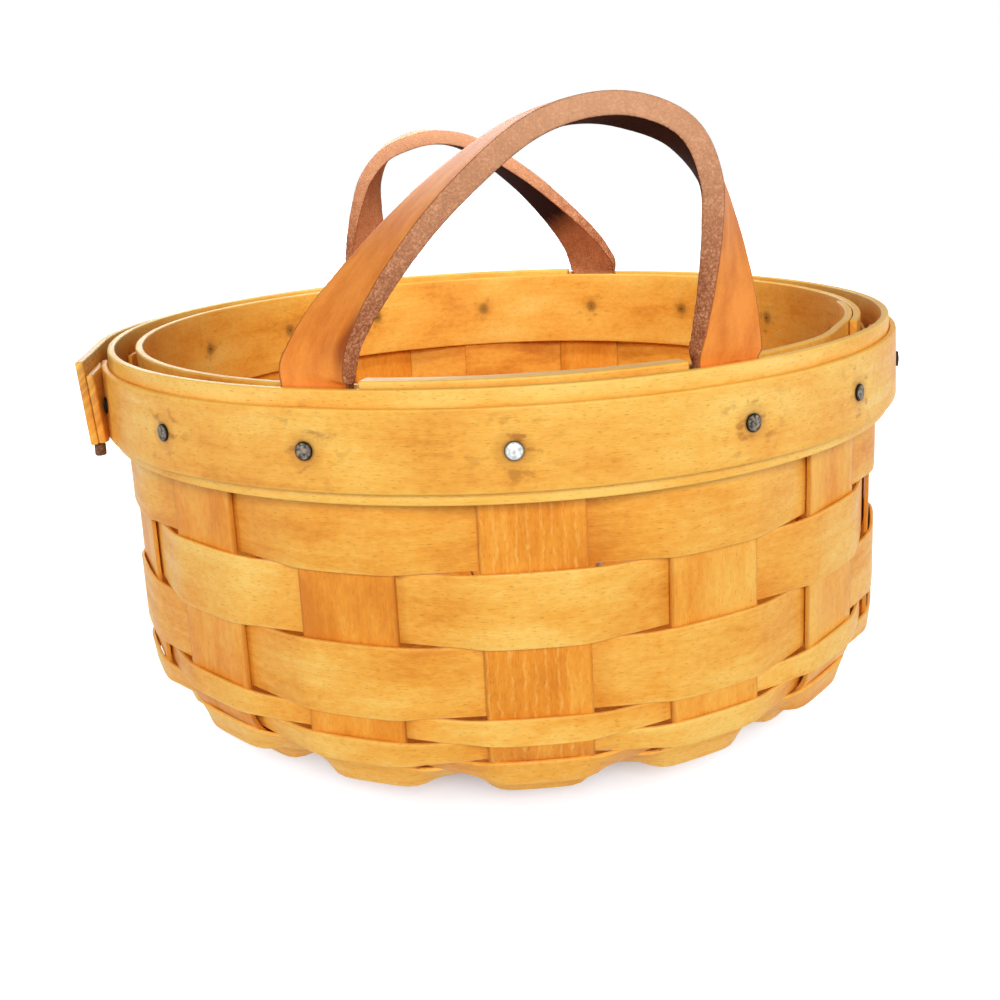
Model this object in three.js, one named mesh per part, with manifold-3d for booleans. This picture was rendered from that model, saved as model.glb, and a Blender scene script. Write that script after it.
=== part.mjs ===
// Woven splint basket with two leather strap handles. Sizes in mm, +Z up, front towards -Y.
import * as THREE from 'three';
import Module from 'manifold-3d';

const wasm = await Module();
wasm.setup();

// Rim
const RIM_RADIUS = 127;
const RIM_HEIGHT = 119;
const CLEAR = 0.3;

// Splints that cross at the base; each one makes two stakes
const SPLINT_COUNT = 8;
const STAKE_COUNT = 2 * SPLINT_COUNT;
const PITCH = 360 / STAKE_COUNT;
const STAKE_WIDTH = 26.5;
const STAKE_THICK = 1.2;
const STAKE_TOP = 6;
const WAIST_GAP = 0.5;
const HUB_WIDTH = 7;
const HUB_LAYER = STAKE_THICK + CLEAR;
const RAMP_RADIUS = 45;

// Weavers
const WEAVER_THICK = 1;
const WEAVER_GAP = 0.35;
const TURN_SLACK = 0.25;
const ROW_GAP = 0.4;
const WIDE_ROW = 18.5;
const WIDE_ROWS = 4;
const NARROW_ROWS = 5;
const NARROW_ROW = 6.2;
const FIRST_ROW = STAKE_TOP + 3.2;
const ROLL_SHARE = 0.65;
const MAX_ROLL = 10;
const WEAVE_OFFSET = STAKE_THICK / 2 + WEAVER_GAP + WEAVER_THICK / 2;

// Rim bands
const WIDE_BAND_THICK = 2.2;
const WIDE_BAND_DEPTH = 28;
const NARROW_BAND_THICK = 2;
const NARROW_BAND_TOP = 4.3;
const NARROW_BAND_DEPTH = 20.5;
const LAP_SHIFT = WIDE_BAND_THICK + CLEAR;
const LAP_START = -149;
const FREE_END = 295;
const SPRING_START = 245;
const SPRING_RISE = 1.8;
const LEAVE = 277.6;
const WORN_CORNER = 8;
const NARROW_START = -77;
const NARROW_END = 279;
const SPLICE_START = 285;
const INNER_BAND_THICK = 2.2;
const INNER_BAND_DEPTH = 30;
const INNER_BAND_DROP = 0.5;
const INNER_START = 61;
const INNER_END = 442;
const BAND_STEP = 6;
const BAND_INNER = RIM_RADIUS - WIDE_BAND_THICK;
const FACET_CLEAR = CLEAR + 0.14;

// Wall, measured at the middle of the stakes and set so that the weave just fits inside the wide band
const WALL_LEAN = 2;
const WEAVE_OUTER = BAND_INNER - FACET_CLEAR - WEAVER_THICK / 2;
const WALL_TOP_RADIUS = Math.sqrt(WEAVE_OUTER ** 2 - (STAKE_WIDTH / 2) ** 2) - WEAVE_OFFSET;
const WALL_FOOT_RADIUS = WALL_TOP_RADIUS - WALL_LEAN;
const WALL_DROP = 90.5;
const CURVE_TOP = RIM_HEIGHT - WALL_DROP;
const BASE_INSET = 70;
const TURN_FULLNESS = 1.9;
const BASE_RADIUS = WALL_FOOT_RADIUS - BASE_INSET;
const BASE_MID = STAKE_THICK / 2;
const LEAN_AT_BAND = (WALL_LEAN * (INNER_BAND_DEPTH + INNER_BAND_DROP)) / WALL_DROP;
const INNER_BAND_RADIUS = WALL_TOP_RADIUS - WEAVE_OFFSET - WEAVER_THICK / 2 - CLEAR - LEAN_AT_BAND;

// Tacks
const HEAD_RADIUS = 2.35;
const HEAD_RISE = 1.1;
const SHANK = 1.5;
const HOLE = SHANK + 2 * CLEAR;
const TACK_DROP = NARROW_BAND_TOP + NARROW_BAND_DEPTH / 2;
const TIP_OUT = 0.8;
// degrees that a tack went in beside the middle of its stake or leg, counted from the front towards the right
const NAILED_ASIDE = { 0: -1.8, 1: 1.3, 14: -1.1, 15: -0.4 };

// Handle straps; the tucked ends fill the space between the first row and the wide band
const LEG_STAKE = 1;
const LEG_ANGLE = LEG_STAKE * PITCH + 1.5;
const STRAP_WIDTH = 19;
const STRAP_THICK = 5.8;
const TUCK_OUTER = Math.sqrt((BAND_INNER - FACET_CLEAR + 0.1) ** 2 - (STRAP_WIDTH / 2) ** 2);
const TUCK_INNER = WALL_TOP_RADIUS - WEAVE_OFFSET + WEAVER_THICK / 2 + WEAVER_GAP;
const TUCK_THICK = TUCK_OUTER - TUCK_INNER;
const LEG_RADIUS = (TUCK_OUTER + TUCK_INNER) / 2;
const TUCK_DEPTH = 19.5;
const STRAP_BEVEL = 0.22;
const SWELL_HEIGHT = 4;
const FLEX_TOP = 12;
const ARCH_HEIGHT = 62.8;
const TWIST_RATE = 0.41;
const LEVEL_AT = 90;
const CURL_LENGTH = 11;
const TURN_LENGTH = 75;
const TURN_EASE = 0.3;

// Filler strips between the handle legs
const FILLER_INNER = INNER_BAND_RADIUS + 0.4;
const FILLER_OUTER = BAND_INNER - FACET_CLEAR;
const FILLER_RISE = 1.6;
const FILLER_END_GAP = 2;
const FILLER_CUT = THREE.MathUtils.radToDeg((STRAP_WIDTH / 2 + FILLER_END_GAP) / LEG_RADIUS);
const FILLER_HALF_ANGLE = LEG_ANGLE - FILLER_CUT;

const MAPLE = 0xe9a94a;
const MAPLE_LIGHT = 0xf2ba5e;
const LEATHER = 0xc4703a;
const STEEL = 0x85868a;

const basket = new THREE.Group();
basket.name = 'splint_basket';

const rad = THREE.MathUtils.degToRad;
const smooth = (t) => THREE.MathUtils.smoothstep(t, 0, 1);

/** Point at a radius, an azimuth in degrees from the front, and a height. */
function polar(radius, azimuth, z) {
  const a = rad(azimuth);
  return new THREE.Vector3(radius * Math.sin(a), -radius * Math.cos(a), z);
}

function addNode(name, geometry, colour, roughness = 0.6, metalness = 0) {
  const material = new THREE.MeshStandardMaterial({ color: colour, roughness, metalness });
  const mesh = new THREE.Mesh(geometry, material);
  mesh.name = name;
  basket.add(mesh);
}

/** Closed skin through rings of points; `closed` joins the last ring to the first. */
function skin(rings, closed) {
  const count = rings[0].length;
  const positions = [];
  const indices = [];
  for (const ring of rings) {
    for (const p of ring) positions.push(p.x, p.y, p.z);
  }
  const spans = closed ? rings.length : rings.length - 1;
  for (let i = 0; i < spans; i += 1) {
    const a = i * count;
    const b = ((i + 1) % rings.length) * count;
    for (let j = 0; j < count; j += 1) {
      const k = (j + 1) % count;
      indices.push(a + j, a + k, b + k, a + j, b + k, b + j);
    }
  }
  if (!closed) {
    const last = (rings.length - 1) * count;
    for (let j = 1; j < count - 1; j += 1) {
      indices.push(0, j + 1, j);
      indices.push(last, last + j, last + j + 1);
    }
  }
  const geometry = new THREE.BufferGeometry();
  geometry.setAttribute('position', new THREE.Float32BufferAttribute(positions, 3));
  geometry.setIndex(signedVolume(positions, indices) < 0 ? indices.reverse() : indices);
  return geometry;
}

function signedVolume(positions, indices) {
  const at = (i) => new THREE.Vector3().fromArray(positions, 3 * i);
  let volume = 0;
  for (let i = 0; i < indices.length; i += 3) {
    volume += at(indices[i]).dot(at(indices[i + 1]).cross(at(indices[i + 2])));
  }
  return volume / 6;
}

function toSolid(geometry) {
  const vertProperties = new Float32Array(geometry.getAttribute('position').array);
  const triVerts = new Uint32Array(geometry.getIndex().array);
  return new wasm.Manifold(new wasm.Mesh({ numProp: 3, vertProperties, triVerts }));
}

function toGeometry(solid) {
  const mesh = solid.getMesh();
  const geometry = new THREE.BufferGeometry();
  geometry.setAttribute('position', new THREE.Float32BufferAttribute(mesh.vertProperties, 3));
  geometry.setIndex(new THREE.Uint32BufferAttribute(mesh.triVerts, 1));
  return geometry;
}

/** Square bar along the radius at an azimuth, from one radius to another. */
function radialBar(side, inner, outer, azimuth, z) {
  const bar = wasm.Manifold.cube([side, outer - inner, side], true);
  const centre = polar((inner + outer) / 2, azimuth, z);
  return bar.rotate([0, 0, azimuth]).translate([centre.x, centre.y, centre.z]);
}

// Wall profile: a nearly upright wall, a turn close to a quarter ellipse and a flat base
const CURVE_A = WALL_FOOT_RADIUS - BASE_RADIUS;
const CURVE_B = CURVE_TOP - BASE_MID;
const WALL_LENGTH = Math.hypot(WALL_TOP_RADIUS - WALL_FOOT_RADIUS, RIM_HEIGHT - CURVE_TOP);
const TURN_STEPS = 400;
const turn = [];
let turnLength = 0;
for (let i = 0; i <= TURN_STEPS; i += 1) {
  const t = ((i / TURN_STEPS) * Math.PI) / 2;
  const across = Math.cos(t) ** (2 / TURN_FULLNESS);
  const down = Math.sin(t) ** (2 / TURN_FULLNESS);
  const r = BASE_RADIUS + CURVE_A * across;
  const z = CURVE_TOP - CURVE_B * down;
  if (i > 0) turnLength += Math.hypot(r - turn[i - 1].r, z - turn[i - 1].z);
  const outR = CURVE_B * across ** (TURN_FULLNESS - 1);
  const outZ = -CURVE_A * down ** (TURN_FULLNESS - 1);
  const nr = outR / Math.hypot(outR, outZ);
  const nz = outZ / Math.hypot(outR, outZ);
  turn.push({ s: turnLength, r, z, nr, nz });
}

/** Middle of the stakes at a length s down the wall from the rim plane, with its outward normal. */
function wallAt(s) {
  if (s <= WALL_LENGTH) {
    const f = s / WALL_LENGTH;
    const r = THREE.MathUtils.lerp(WALL_TOP_RADIUS, WALL_FOOT_RADIUS, f);
    return { r, z: THREE.MathUtils.lerp(RIM_HEIGHT, CURVE_TOP, f), nr: 1, nz: 0 };
  }
  const along = s - WALL_LENGTH;
  if (along >= turnLength) return { r: BASE_RADIUS - (along - turnLength), z: BASE_MID, nr: 0, nz: -1 };
  const j = Math.max(1, turn.findIndex((p) => p.s >= along));
  const a = turn[j - 1];
  const b = turn[j];
  const f = (along - a.s) / (b.s - a.s);
  const mix = (key) => THREE.MathUtils.lerp(a[key], b[key], f);
  return { r: mix('r'), z: mix('z'), nr: mix('nr'), nz: mix('nz') };
}

// Rim bands as radii over the azimuth; the wide band laps over its own start, bulges and runs straight off the rim
const lapRise = (azimuth) => LAP_SHIFT * smooth((azimuth - 190) / 18);
const bulge = (azimuth) => SPRING_RISE * smooth((azimuth - SPRING_START) / (LEAVE - SPRING_START));
const straightOff = (azimuth) => 1 / Math.cos(rad(Math.max(0, azimuth - LEAVE)));
const wideInner = (azimuth) => (BAND_INNER + lapRise(azimuth) + bulge(azimuth)) * straightOff(azimuth);
const wideOuter = (azimuth) => wideInner(azimuth) + WIDE_BAND_THICK;
const narrowInner = (azimuth) => wideOuter(azimuth) + CLEAR;
const narrowOuter = (azimuth) => narrowInner(azimuth) + NARROW_BAND_THICK;
const innerLap = (azimuth) => (INNER_BAND_THICK + CLEAR) * smooth((azimuth - 404) / 14);
const innerBandInner = (azimuth) => INNER_BAND_RADIUS - INNER_BAND_THICK - innerLap(azimuth);
const innerBandOuter = (azimuth) => innerBandInner(azimuth) + INNER_BAND_THICK;

/** Strip between two radii, which are functions of the azimuth; the lower edge is one too. */
function band(inner, outer, from, to, bottom, top) {
  const steps = Math.max(4, Math.round((to - from) / BAND_STEP));
  const rings = [];
  for (let i = 0; i <= steps; i += 1) {
    const azimuth = from + ((to - from) * i) / steps;
    rings.push([
      polar(inner(azimuth), azimuth, bottom(azimuth)),
      polar(outer(azimuth), azimuth, bottom(azimuth)),
      polar(outer(azimuth), azimuth, top),
      polar(inner(azimuth), azimuth, top),
    ]);
  }
  return skin(rings, false);
}

// Tacks: one at each stake, moved to the legs where a strap is tucked
const legShift = (k) => {
  const fromHandle = k % SPLINT_COUNT;
  if (fromHandle === LEG_STAKE) return LEG_ANGLE - LEG_STAKE * PITCH;
  if (fromHandle === SPLINT_COUNT - LEG_STAKE) return LEG_STAKE * PITCH - LEG_ANGLE;
  return 0;
};
const isLegStake = (k) => legShift(k) !== 0;
const tackAzimuths = [];
for (let k = 0; k < STAKE_COUNT; k += 1) tackAzimuths.push(k * PITCH + legShift(k) + (NAILED_ASIDE[k] ?? 0));
const TACK_Z = RIM_HEIGHT - TACK_DROP;
const HOLE_FROM = INNER_BAND_RADIUS - 11;
const HOLE_TO = narrowOuter(FREE_END) + 2;
const holes = tackAzimuths.map((azimuth) => radialBar(HOLE, HOLE_FROM, HOLE_TO, azimuth, TACK_Z));
const allHoles = wasm.Manifold.union(holes);
const drilled = (geometry) => toGeometry(toSolid(geometry).subtract(allHoles));

function tackGeometry(azimuth) {
  // a tack beside the sprung end holds only the first turn of the bands
  const outerAzimuth = azimuth > 360 + NARROW_START ? azimuth - 360 : azimuth;
  const seat = narrowOuter(outerAzimuth) + CLEAR;
  const innerAzimuth = azimuth < INNER_END - 360 ? azimuth + 360 : azimuth;
  const tip = innerBandInner(innerAzimuth) - TIP_OUT;
  const profile = [
    new THREE.Vector2(0, 0),
    new THREE.Vector2(HEAD_RADIUS, 0),
    new THREE.Vector2(HEAD_RADIUS, 0.35),
    new THREE.Vector2(HEAD_RADIUS * 0.62, HEAD_RISE * 0.85),
    new THREE.Vector2(0, HEAD_RISE),
  ];
  const rings = profile.slice(1, 4).map((p) => {
    const ring = [];
    for (let j = 0; j < 12; j += 1) {
      const t = (j / 12) * 2 * Math.PI;
      ring.push(new THREE.Vector3(p.x * Math.cos(t), -p.y, p.x * Math.sin(t)));
    }
    return ring;
  });
  const head = toSolid(skin(rings, false)).rotate([0, 0, azimuth]);
  const at = polar(seat, azimuth, TACK_Z);
  const shank = radialBar(SHANK, tip, seat + 0.2, azimuth, TACK_Z);
  return toGeometry(head.translate([at.x, at.y, at.z]).add(shank));
}

// Splints
function baseWidth(r) {
  const open = 2 * Math.tan(rad(PITCH / 2)) * r - WAIST_GAP;
  return Math.max(HUB_WIDTH, Math.min(STAKE_WIDTH, open));
}
const HUB_RADIUS = (HUB_WIDTH + WAIST_GAP) / (2 * Math.tan(rad(PITCH / 2)));
const TURN_STATIONS = 16;
const RAMP_STATIONS = 4;

/** Stations down one stake from its top to the edge of the hub. */
function stakeStations(top, layer) {
  const stations = [wallAt(top), wallAt(WALL_LENGTH)];
  for (let i = 1; i <= TURN_STATIONS; i += 1) stations.push(turn[(TURN_STEPS * i) / TURN_STATIONS]);
  stations.push({ r: RAMP_RADIUS, z: BASE_MID, nr: 0, nz: -1 });
  for (let i = 1; i <= RAMP_STATIONS; i += 1) {
    const f = i / RAMP_STATIONS;
    const r = THREE.MathUtils.lerp(RAMP_RADIUS, HUB_RADIUS, f);
    stations.push({ r, z: BASE_MID + layer * HUB_LAYER * smooth(f), nr: 0, nz: -1 });
  }
  return stations;
}

function splint(index) {
  const azimuth = index * PITCH;
  const a = rad(azimuth);
  const out = new THREE.Vector3(Math.sin(a), -Math.cos(a), 0);
  const across = new THREE.Vector3(Math.cos(a), Math.sin(a), 0);
  const top = isLegStake(index) ? TUCK_DEPTH + 0.5 : STAKE_TOP;
  const ringAt = (station, sign) => {
    const half = baseWidth(station.r) / 2;
    const corners = [[-half, -1], [half, -1], [half, 1], [-half, 1]];
    return corners.map(([w, face]) => {
      const u = sign * (station.r + (face * station.nr * STAKE_THICK) / 2);
      const z = station.z + (face * station.nz * STAKE_THICK) / 2;
      return out.clone().multiplyScalar(u).addScaledVector(across, sign * w).setZ(z);
    });
  };
  // the second stake of a splint runs back up, so its corners swap sides and faces stay outward
  const swap = (ring) => [ring[1], ring[0], ring[3], ring[2]];
  const stations = stakeStations(top, index);
  const first = stations.map((station) => ringAt(station, 1));
  const second = stations.map((station) => swap(ringAt(station, -1))).reverse();
  return skin([...first, ...second], false);
}

for (let i = 0; i < SPLINT_COUNT; i += 1) {
  addNode(`splint_${i + 1}`, drilled(splint(i)), MAPLE);
}

// Weavers
/**
 * Flat cross-section of a row. It stands up from the slope of the stakes by part of that slope, and the offsets are
 * those at which its middle clears the stakes when it passes outside and inside them.
 */
function rowSection(start, width, gap, rollShare) {
  const upper = wallAt(start);
  const lower = wallAt(start + width);
  const middle = wallAt(start + width / 2);
  const slope = Math.atan2(upper.r - lower.r, upper.z - lower.z);
  const tilt = slope - Math.min(rollShare * slope, rad(MAX_ROLL));
  const nr = Math.cos(tilt);
  const nz = -Math.sin(tilt);
  const depths = [0, 0.25, 0.5, 0.75, 1].map((f) => {
    const p = wallAt(start + width * f);
    return (p.r - middle.r) * nr + (p.z - middle.z) * nz;
  });
  const edges = [0.5, -0.5].map((f) => ({ r: middle.r - f * width * nz, z: middle.z + f * width * nr }));
  const clear = STAKE_THICK / 2 + gap + WEAVER_THICK / 2;
  return { edges, nr, nz, outside: clear + Math.max(...depths), inside: clear - Math.min(...depths) };
}

/** Ring woven round the stakes; parity 0 passes over the even stakes, 1 over the odd ones. */
function weaver(section, parity) {
  const { edges, nr, nz, outside, inside } = section;
  const sideAt = (k) => ((k + STAKE_COUNT) % 2 === parity ? 1 : 0);
  const pointAt = (line, k, f, face) => {
    // f runs from 0 at the middle of stake k to 1 at the middle of stake k + 1
    const edge = THREE.MathUtils.radToDeg(Math.atan(STAKE_WIDTH / 2 / line.r)) / PITCH;
    const t = smooth((f - edge) / (1 - 2 * edge));
    const side = THREE.MathUtils.lerp(sideAt(k), sideAt(k + 1), t);
    const o = THREE.MathUtils.lerp(-inside, outside, side) + (face * WEAVER_THICK) / 2;
    const reach = line.r + outside * nr;
    const bow = Math.hypot(reach, STAKE_WIDTH / 2) - reach;
    return polar(line.r + o * nr + bow * side, (k + f) * PITCH, line.z + o * nz);
  };
  const rings = [];
  for (let k = 0; k < STAKE_COUNT; k += 1) {
    const edge = THREE.MathUtils.radToDeg(Math.atan(STAKE_WIDTH / 2 / edges[0].r)) / PITCH;
    const lens = (1 - 2 * edge) / 4;
    for (const f of [0, edge, edge + lens, 0.5, 1 - edge - lens, 1 - edge]) {
      const outer = edges.map((line) => pointAt(line, k, f, 1));
      const inner = edges.map((line) => pointAt(line, k, f, -1)).reverse();
      rings.push([...outer, ...inner]);
    }
  }
  return skin(rings, true);
}

// The wide rows stand on the upright wall, and the narrow rows follow the turn
let rowStart = FIRST_ROW;
for (let i = 0; i < WIDE_ROWS + NARROW_ROWS; i += 1) {
  const wide = i < WIDE_ROWS;
  const width = wide ? WIDE_ROW : NARROW_ROW;
  const section = wide
    ? rowSection(rowStart, width, WEAVER_GAP, 0)
    : rowSection(rowStart, width, WEAVER_GAP + TURN_SLACK, ROLL_SHARE);
  const ring = weaver(section, i % 2);
  addNode(`weaver_${i + 1}`, i === 0 ? drilled(ring) : ring, MAPLE_LIGHT);
  rowStart += width + ROW_GAP;
}

// Rim bands and fillers
const level = (z) => () => z;
const narrowTop = RIM_HEIGHT - NARROW_BAND_TOP;
const narrowBottom = narrowTop - NARROW_BAND_DEPTH;
const wideBottom = RIM_HEIGHT - WIDE_BAND_DEPTH;
const wornBottom = (azimuth) => {
  return THREE.MathUtils.lerp(wideBottom, narrowBottom, smooth((azimuth - FREE_END + WORN_CORNER) / WORN_CORNER));
};
const wideBand = band(wideInner, wideOuter, LAP_START, FREE_END, wornBottom, RIM_HEIGHT);
addNode('rim_band_wide', drilled(wideBand), MAPLE_LIGHT);
const narrowBand = band(narrowInner, narrowOuter, NARROW_START, NARROW_END, level(narrowBottom), narrowTop);
addNode('rim_band_narrow', drilled(narrowBand), MAPLE_LIGHT);
const innerTop = RIM_HEIGHT - INNER_BAND_DROP;
const innerBottom = innerTop - INNER_BAND_DEPTH;
const innerBand = band(innerBandInner, innerBandOuter, INNER_START, INNER_END, level(innerBottom), innerTop);
addNode('rim_band_inner', drilled(innerBand), MAPLE);

// Strip on the inside of the sprung end, shaved thin where it meets the rim
const spliceOuter = (azimuth) => wideInner(azimuth) - CLEAR;
const rimClear = narrowOuter(NARROW_START) + CLEAR;
const spliceInner = (azimuth) => Math.max(rimClear, spliceOuter(azimuth) - NARROW_BAND_THICK);
const splice = band(spliceInner, spliceOuter, SPLICE_START, FREE_END, level(narrowBottom), narrowTop);
addNode('splice_strip', drilled(splice), MAPLE_LIGHT);
for (const [name, middle] of [['front', 0], ['back', 180]]) {
  const from = middle - FILLER_HALF_ANGLE;
  const to = middle + FILLER_HALF_ANGLE;
  const bottom = level(RIM_HEIGHT - STAKE_TOP + CLEAR + 0.1);
  const strip = band(level(FILLER_INNER), level(FILLER_OUTER), from, to, bottom, RIM_HEIGHT + FILLER_RISE);
  addNode(`rim_filler_${name}`, strip, MAPLE_LIGHT);
}

// Peg under the splice strip at the free end
const PEG_RADIUS = 1.6;
const PEG_LENGTH = 3.6;
const PEG_AZIMUTH = FREE_END - 1.4;
const pegCentre = polar(spliceOuter(PEG_AZIMUTH) - PEG_RADIUS - 0.1, PEG_AZIMUTH, 0);
const peg = new THREE.CylinderGeometry(PEG_RADIUS, PEG_RADIUS * 0.85, PEG_LENGTH, 12);
peg.rotateX(Math.PI / 2);
peg.translate(pegCentre.x, pegCentre.y, narrowBottom - CLEAR - PEG_LENGTH / 2);
addNode('free_end_peg', peg, 0x6b4020);

// Handles: one strap path, used at the front and turned half round for the back
const legU = LEG_RADIUS * Math.sin(rad(LEG_ANGLE));
const legV = LEG_RADIUS * Math.cos(rad(LEG_ANGLE));
const path = new THREE.CatmullRomCurve3(
  [
    [-1, -TUCK_DEPTH / ARCH_HEIGHT],
    [-1, -0.13],
    [-1, 0.012],
    [-0.996, 0.045],
    [-0.967, 0.11],
    [-0.898, 0.22],
    [-0.642, 0.478],
    [-0.337, 0.717],
    [0.064, 0.941],
    [0.331, 0.998],
    [0.563, 0.984],
    [0.798, 0.898],
    [0.938, 0.726],
    [0.985, 0.54],
    [1.009, 0.293],
    [1.008, 0.11],
    [1.003, 0.045],
    [1, 0.012],
    [1, -0.13],
    [1, -TUCK_DEPTH / ARCH_HEIGHT],
  ].map(([u, z]) => new THREE.Vector3(u * legU, 0, z * ARCH_HEIGHT)),
  false,
  'centripetal',
);
const SAMPLES = 600;
const samples = [];
for (let i = 0; i <= SAMPLES; i += 1) {
  const p = path.getPoint(i / SAMPLES);
  const s = i === 0 ? 0 : samples[i - 1].s + p.distanceTo(samples[i - 1].p);
  samples.push({ p, s, t: path.getTangent(i / SAMPLES) });
}
const leftIndex = (z) => samples.findIndex((q) => q.p.z >= z);
const rightIndex = (z) => SAMPLES - [...samples].reverse().findIndex((q) => q.p.z >= z);
const leftExit = samples[leftIndex(0)].s;
const rightExit = samples[rightIndex(0)].s;
const BASE_TWIST = 90 - LEG_ANGLE;

/** Angle of the strap about its path: it lies on the rim at both ends and turns level over the arch. */
function twistAt(s) {
  const along = THREE.MathUtils.clamp(s - leftExit, 0, rightExit - leftExit);
  const slow = TWIST_RATE * (LEVEL_AT - along);
  const curl = (BASE_TWIST - TWIST_RATE * LEVEL_AT) * Math.exp(-along / CURL_LENGTH);
  const f = Math.max(0, 1 - (rightExit - leftExit - along) / TURN_LENGTH);
  const ramp = (f < TURN_EASE ? (f * f) / (2 * TURN_EASE) : f - TURN_EASE / 2) / (1 - TURN_EASE / 2);
  const back = BASE_TWIST - TWIST_RATE * (LEVEL_AT - rightExit + leftExit);
  return rad(slow + curl + back * ramp);
}

/** Cross-section of the strap at one sample: a rectangle with broken corners. */
function strapRing(sample, turned) {
  const { p, s, t } = sample;
  const twist = twistAt(s);
  const swell = smooth(p.z / SWELL_HEIGHT);
  const thick = THREE.MathUtils.lerp(TUCK_THICK, STRAP_THICK, swell);
  const outward = new THREE.Vector3(-t.z, 0, t.x);
  const view = new THREE.Vector3(0, -1, 0);
  const wide = view.clone().multiplyScalar(Math.cos(twist)).addScaledVector(outward, -Math.sin(twist));
  const deep = outward.clone().multiplyScalar(Math.cos(twist)).addScaledVector(view, Math.sin(twist));
  const b = STRAP_BEVEL * thick;
  const w = STRAP_WIDTH / 2;
  const d = thick / 2;
  const quarter = [[w - b, -d], [w, b - d], [w, d - b], [w - b, d]];
  const corners = [...quarter, ...quarter.map(([x, y]) => [-x, -y])];
  return corners.map(([x, y]) => {
    const q = p.clone().addScaledVector(wide, x).addScaledVector(deep, y);
    q.y -= legV;
    q.z += RIM_HEIGHT;
    return turned ? new THREE.Vector3(-q.x, -q.y, q.z) : q;
  });
}

function strap(from, to, steps, turned) {
  const rings = [];
  for (let i = 0; i <= steps; i += 1) {
    rings.push(strapRing(samples[Math.round(from + ((to - from) * i) / steps)], turned));
  }
  return skin(rings, false);
}

// Each strap is cut into tucked ends, flexing stretches just above the rim, and the arch
const CUT = CLEAR + 0.05;
const END_TOP = CLEAR;
for (const [name, turned] of [['front', false], ['back', true]]) {
  const addStrap = (part, geometry) => addNode(`${name}_handle_${part}`, geometry, LEATHER, 0.8);
  addStrap('end_left', drilled(strap(0, leftIndex(END_TOP), 3, turned)));
  addStrap('end_right', drilled(strap(rightIndex(END_TOP), SAMPLES, 3, turned)));
  addStrap('flex_left', strap(leftIndex(END_TOP + CUT), leftIndex(FLEX_TOP - CUT), 4, turned));
  addStrap('flex_right', strap(rightIndex(FLEX_TOP - CUT), rightIndex(END_TOP + CUT), 4, turned));
  addStrap('strap', strap(leftIndex(FLEX_TOP), rightIndex(FLEX_TOP), 34, turned));
}

tackAzimuths.forEach((azimuth, i) => addNode(`tack_${i + 1}`, tackGeometry(azimuth), STEEL, 0.35, 1));

export default basket;
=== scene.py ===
"""Dress the woven splint basket: maple splints and bands, leather strap handles, tacks and the studio."""

import logging
import math
from dataclasses import dataclass, field
from enum import Enum
from functools import partial
from typing import Callable, Iterable

import bpy
import numpy as np
from mathutils import Matrix, Vector

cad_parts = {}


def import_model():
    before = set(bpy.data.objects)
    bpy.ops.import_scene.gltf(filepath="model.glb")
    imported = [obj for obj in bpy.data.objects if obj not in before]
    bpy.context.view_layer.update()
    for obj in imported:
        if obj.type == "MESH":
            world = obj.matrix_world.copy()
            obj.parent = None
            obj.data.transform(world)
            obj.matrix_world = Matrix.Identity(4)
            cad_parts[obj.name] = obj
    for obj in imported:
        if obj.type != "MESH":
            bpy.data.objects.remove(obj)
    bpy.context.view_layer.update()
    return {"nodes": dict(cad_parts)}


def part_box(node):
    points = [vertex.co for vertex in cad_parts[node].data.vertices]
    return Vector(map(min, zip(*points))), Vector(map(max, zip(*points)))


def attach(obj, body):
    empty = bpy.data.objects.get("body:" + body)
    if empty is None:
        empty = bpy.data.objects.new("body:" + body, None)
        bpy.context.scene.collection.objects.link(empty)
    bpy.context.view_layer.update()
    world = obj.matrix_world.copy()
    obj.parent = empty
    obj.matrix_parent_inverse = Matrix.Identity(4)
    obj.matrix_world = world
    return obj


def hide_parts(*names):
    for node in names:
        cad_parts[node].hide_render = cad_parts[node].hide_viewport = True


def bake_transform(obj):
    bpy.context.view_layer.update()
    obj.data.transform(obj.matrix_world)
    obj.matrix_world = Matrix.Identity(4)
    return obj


LOG = logging.getLogger("basket")
MM = 0.001
BASKET_BODY = "basket"
GRAIN_UV = "grain"
RIM_RADIUS = 127 * MM
RIM_HEIGHT = 119 * MM
STAKES = 16
STAKE_WIDTH = 26.5 * MM
STAKE_THICK = 1.2 * MM

Socket = bpy.types.NodeSocket
Ramp = tuple[Socket, float, float, float]
Place = tuple[float, float, float]
Spot = tuple[float, float]
OverRim = Callable[[np.ndarray], np.ndarray]
Bend = Callable[[np.ndarray, np.ndarray, np.ndarray], np.ndarray]


# Colours and nodes


def linear_colour(code: str) -> tuple[float, float, float, float]:
    """Turn an sRGB hex code into the linear colour that a shader takes.

    Args:
        code: Six hex digits with a leading hash.

    Returns:
        Red, green, blue and alpha, linear.
    """
    channels = [int(code[i : i + 2], 16) / 255 for i in (1, 3, 5)]
    linear = [c / 12.92 if c <= 0.04045 else ((c + 0.055) / 1.055) ** 2.4 for c in channels]
    return (linear[0], linear[1], linear[2], 1.0)


def feed(tree: bpy.types.NodeTree, node: bpy.types.Node, inputs: dict) -> None:
    """Fill the inputs of a node.

    Args:
        tree: The node tree.
        node: The node.
        inputs: Socket name or index to a plain value, or to the output socket that feeds it.
    """
    for key, value in inputs.items():
        if isinstance(value, Socket):
            tree.links.new(value, node.inputs[key])
        else:
            node.inputs[key].default_value = value


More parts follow.
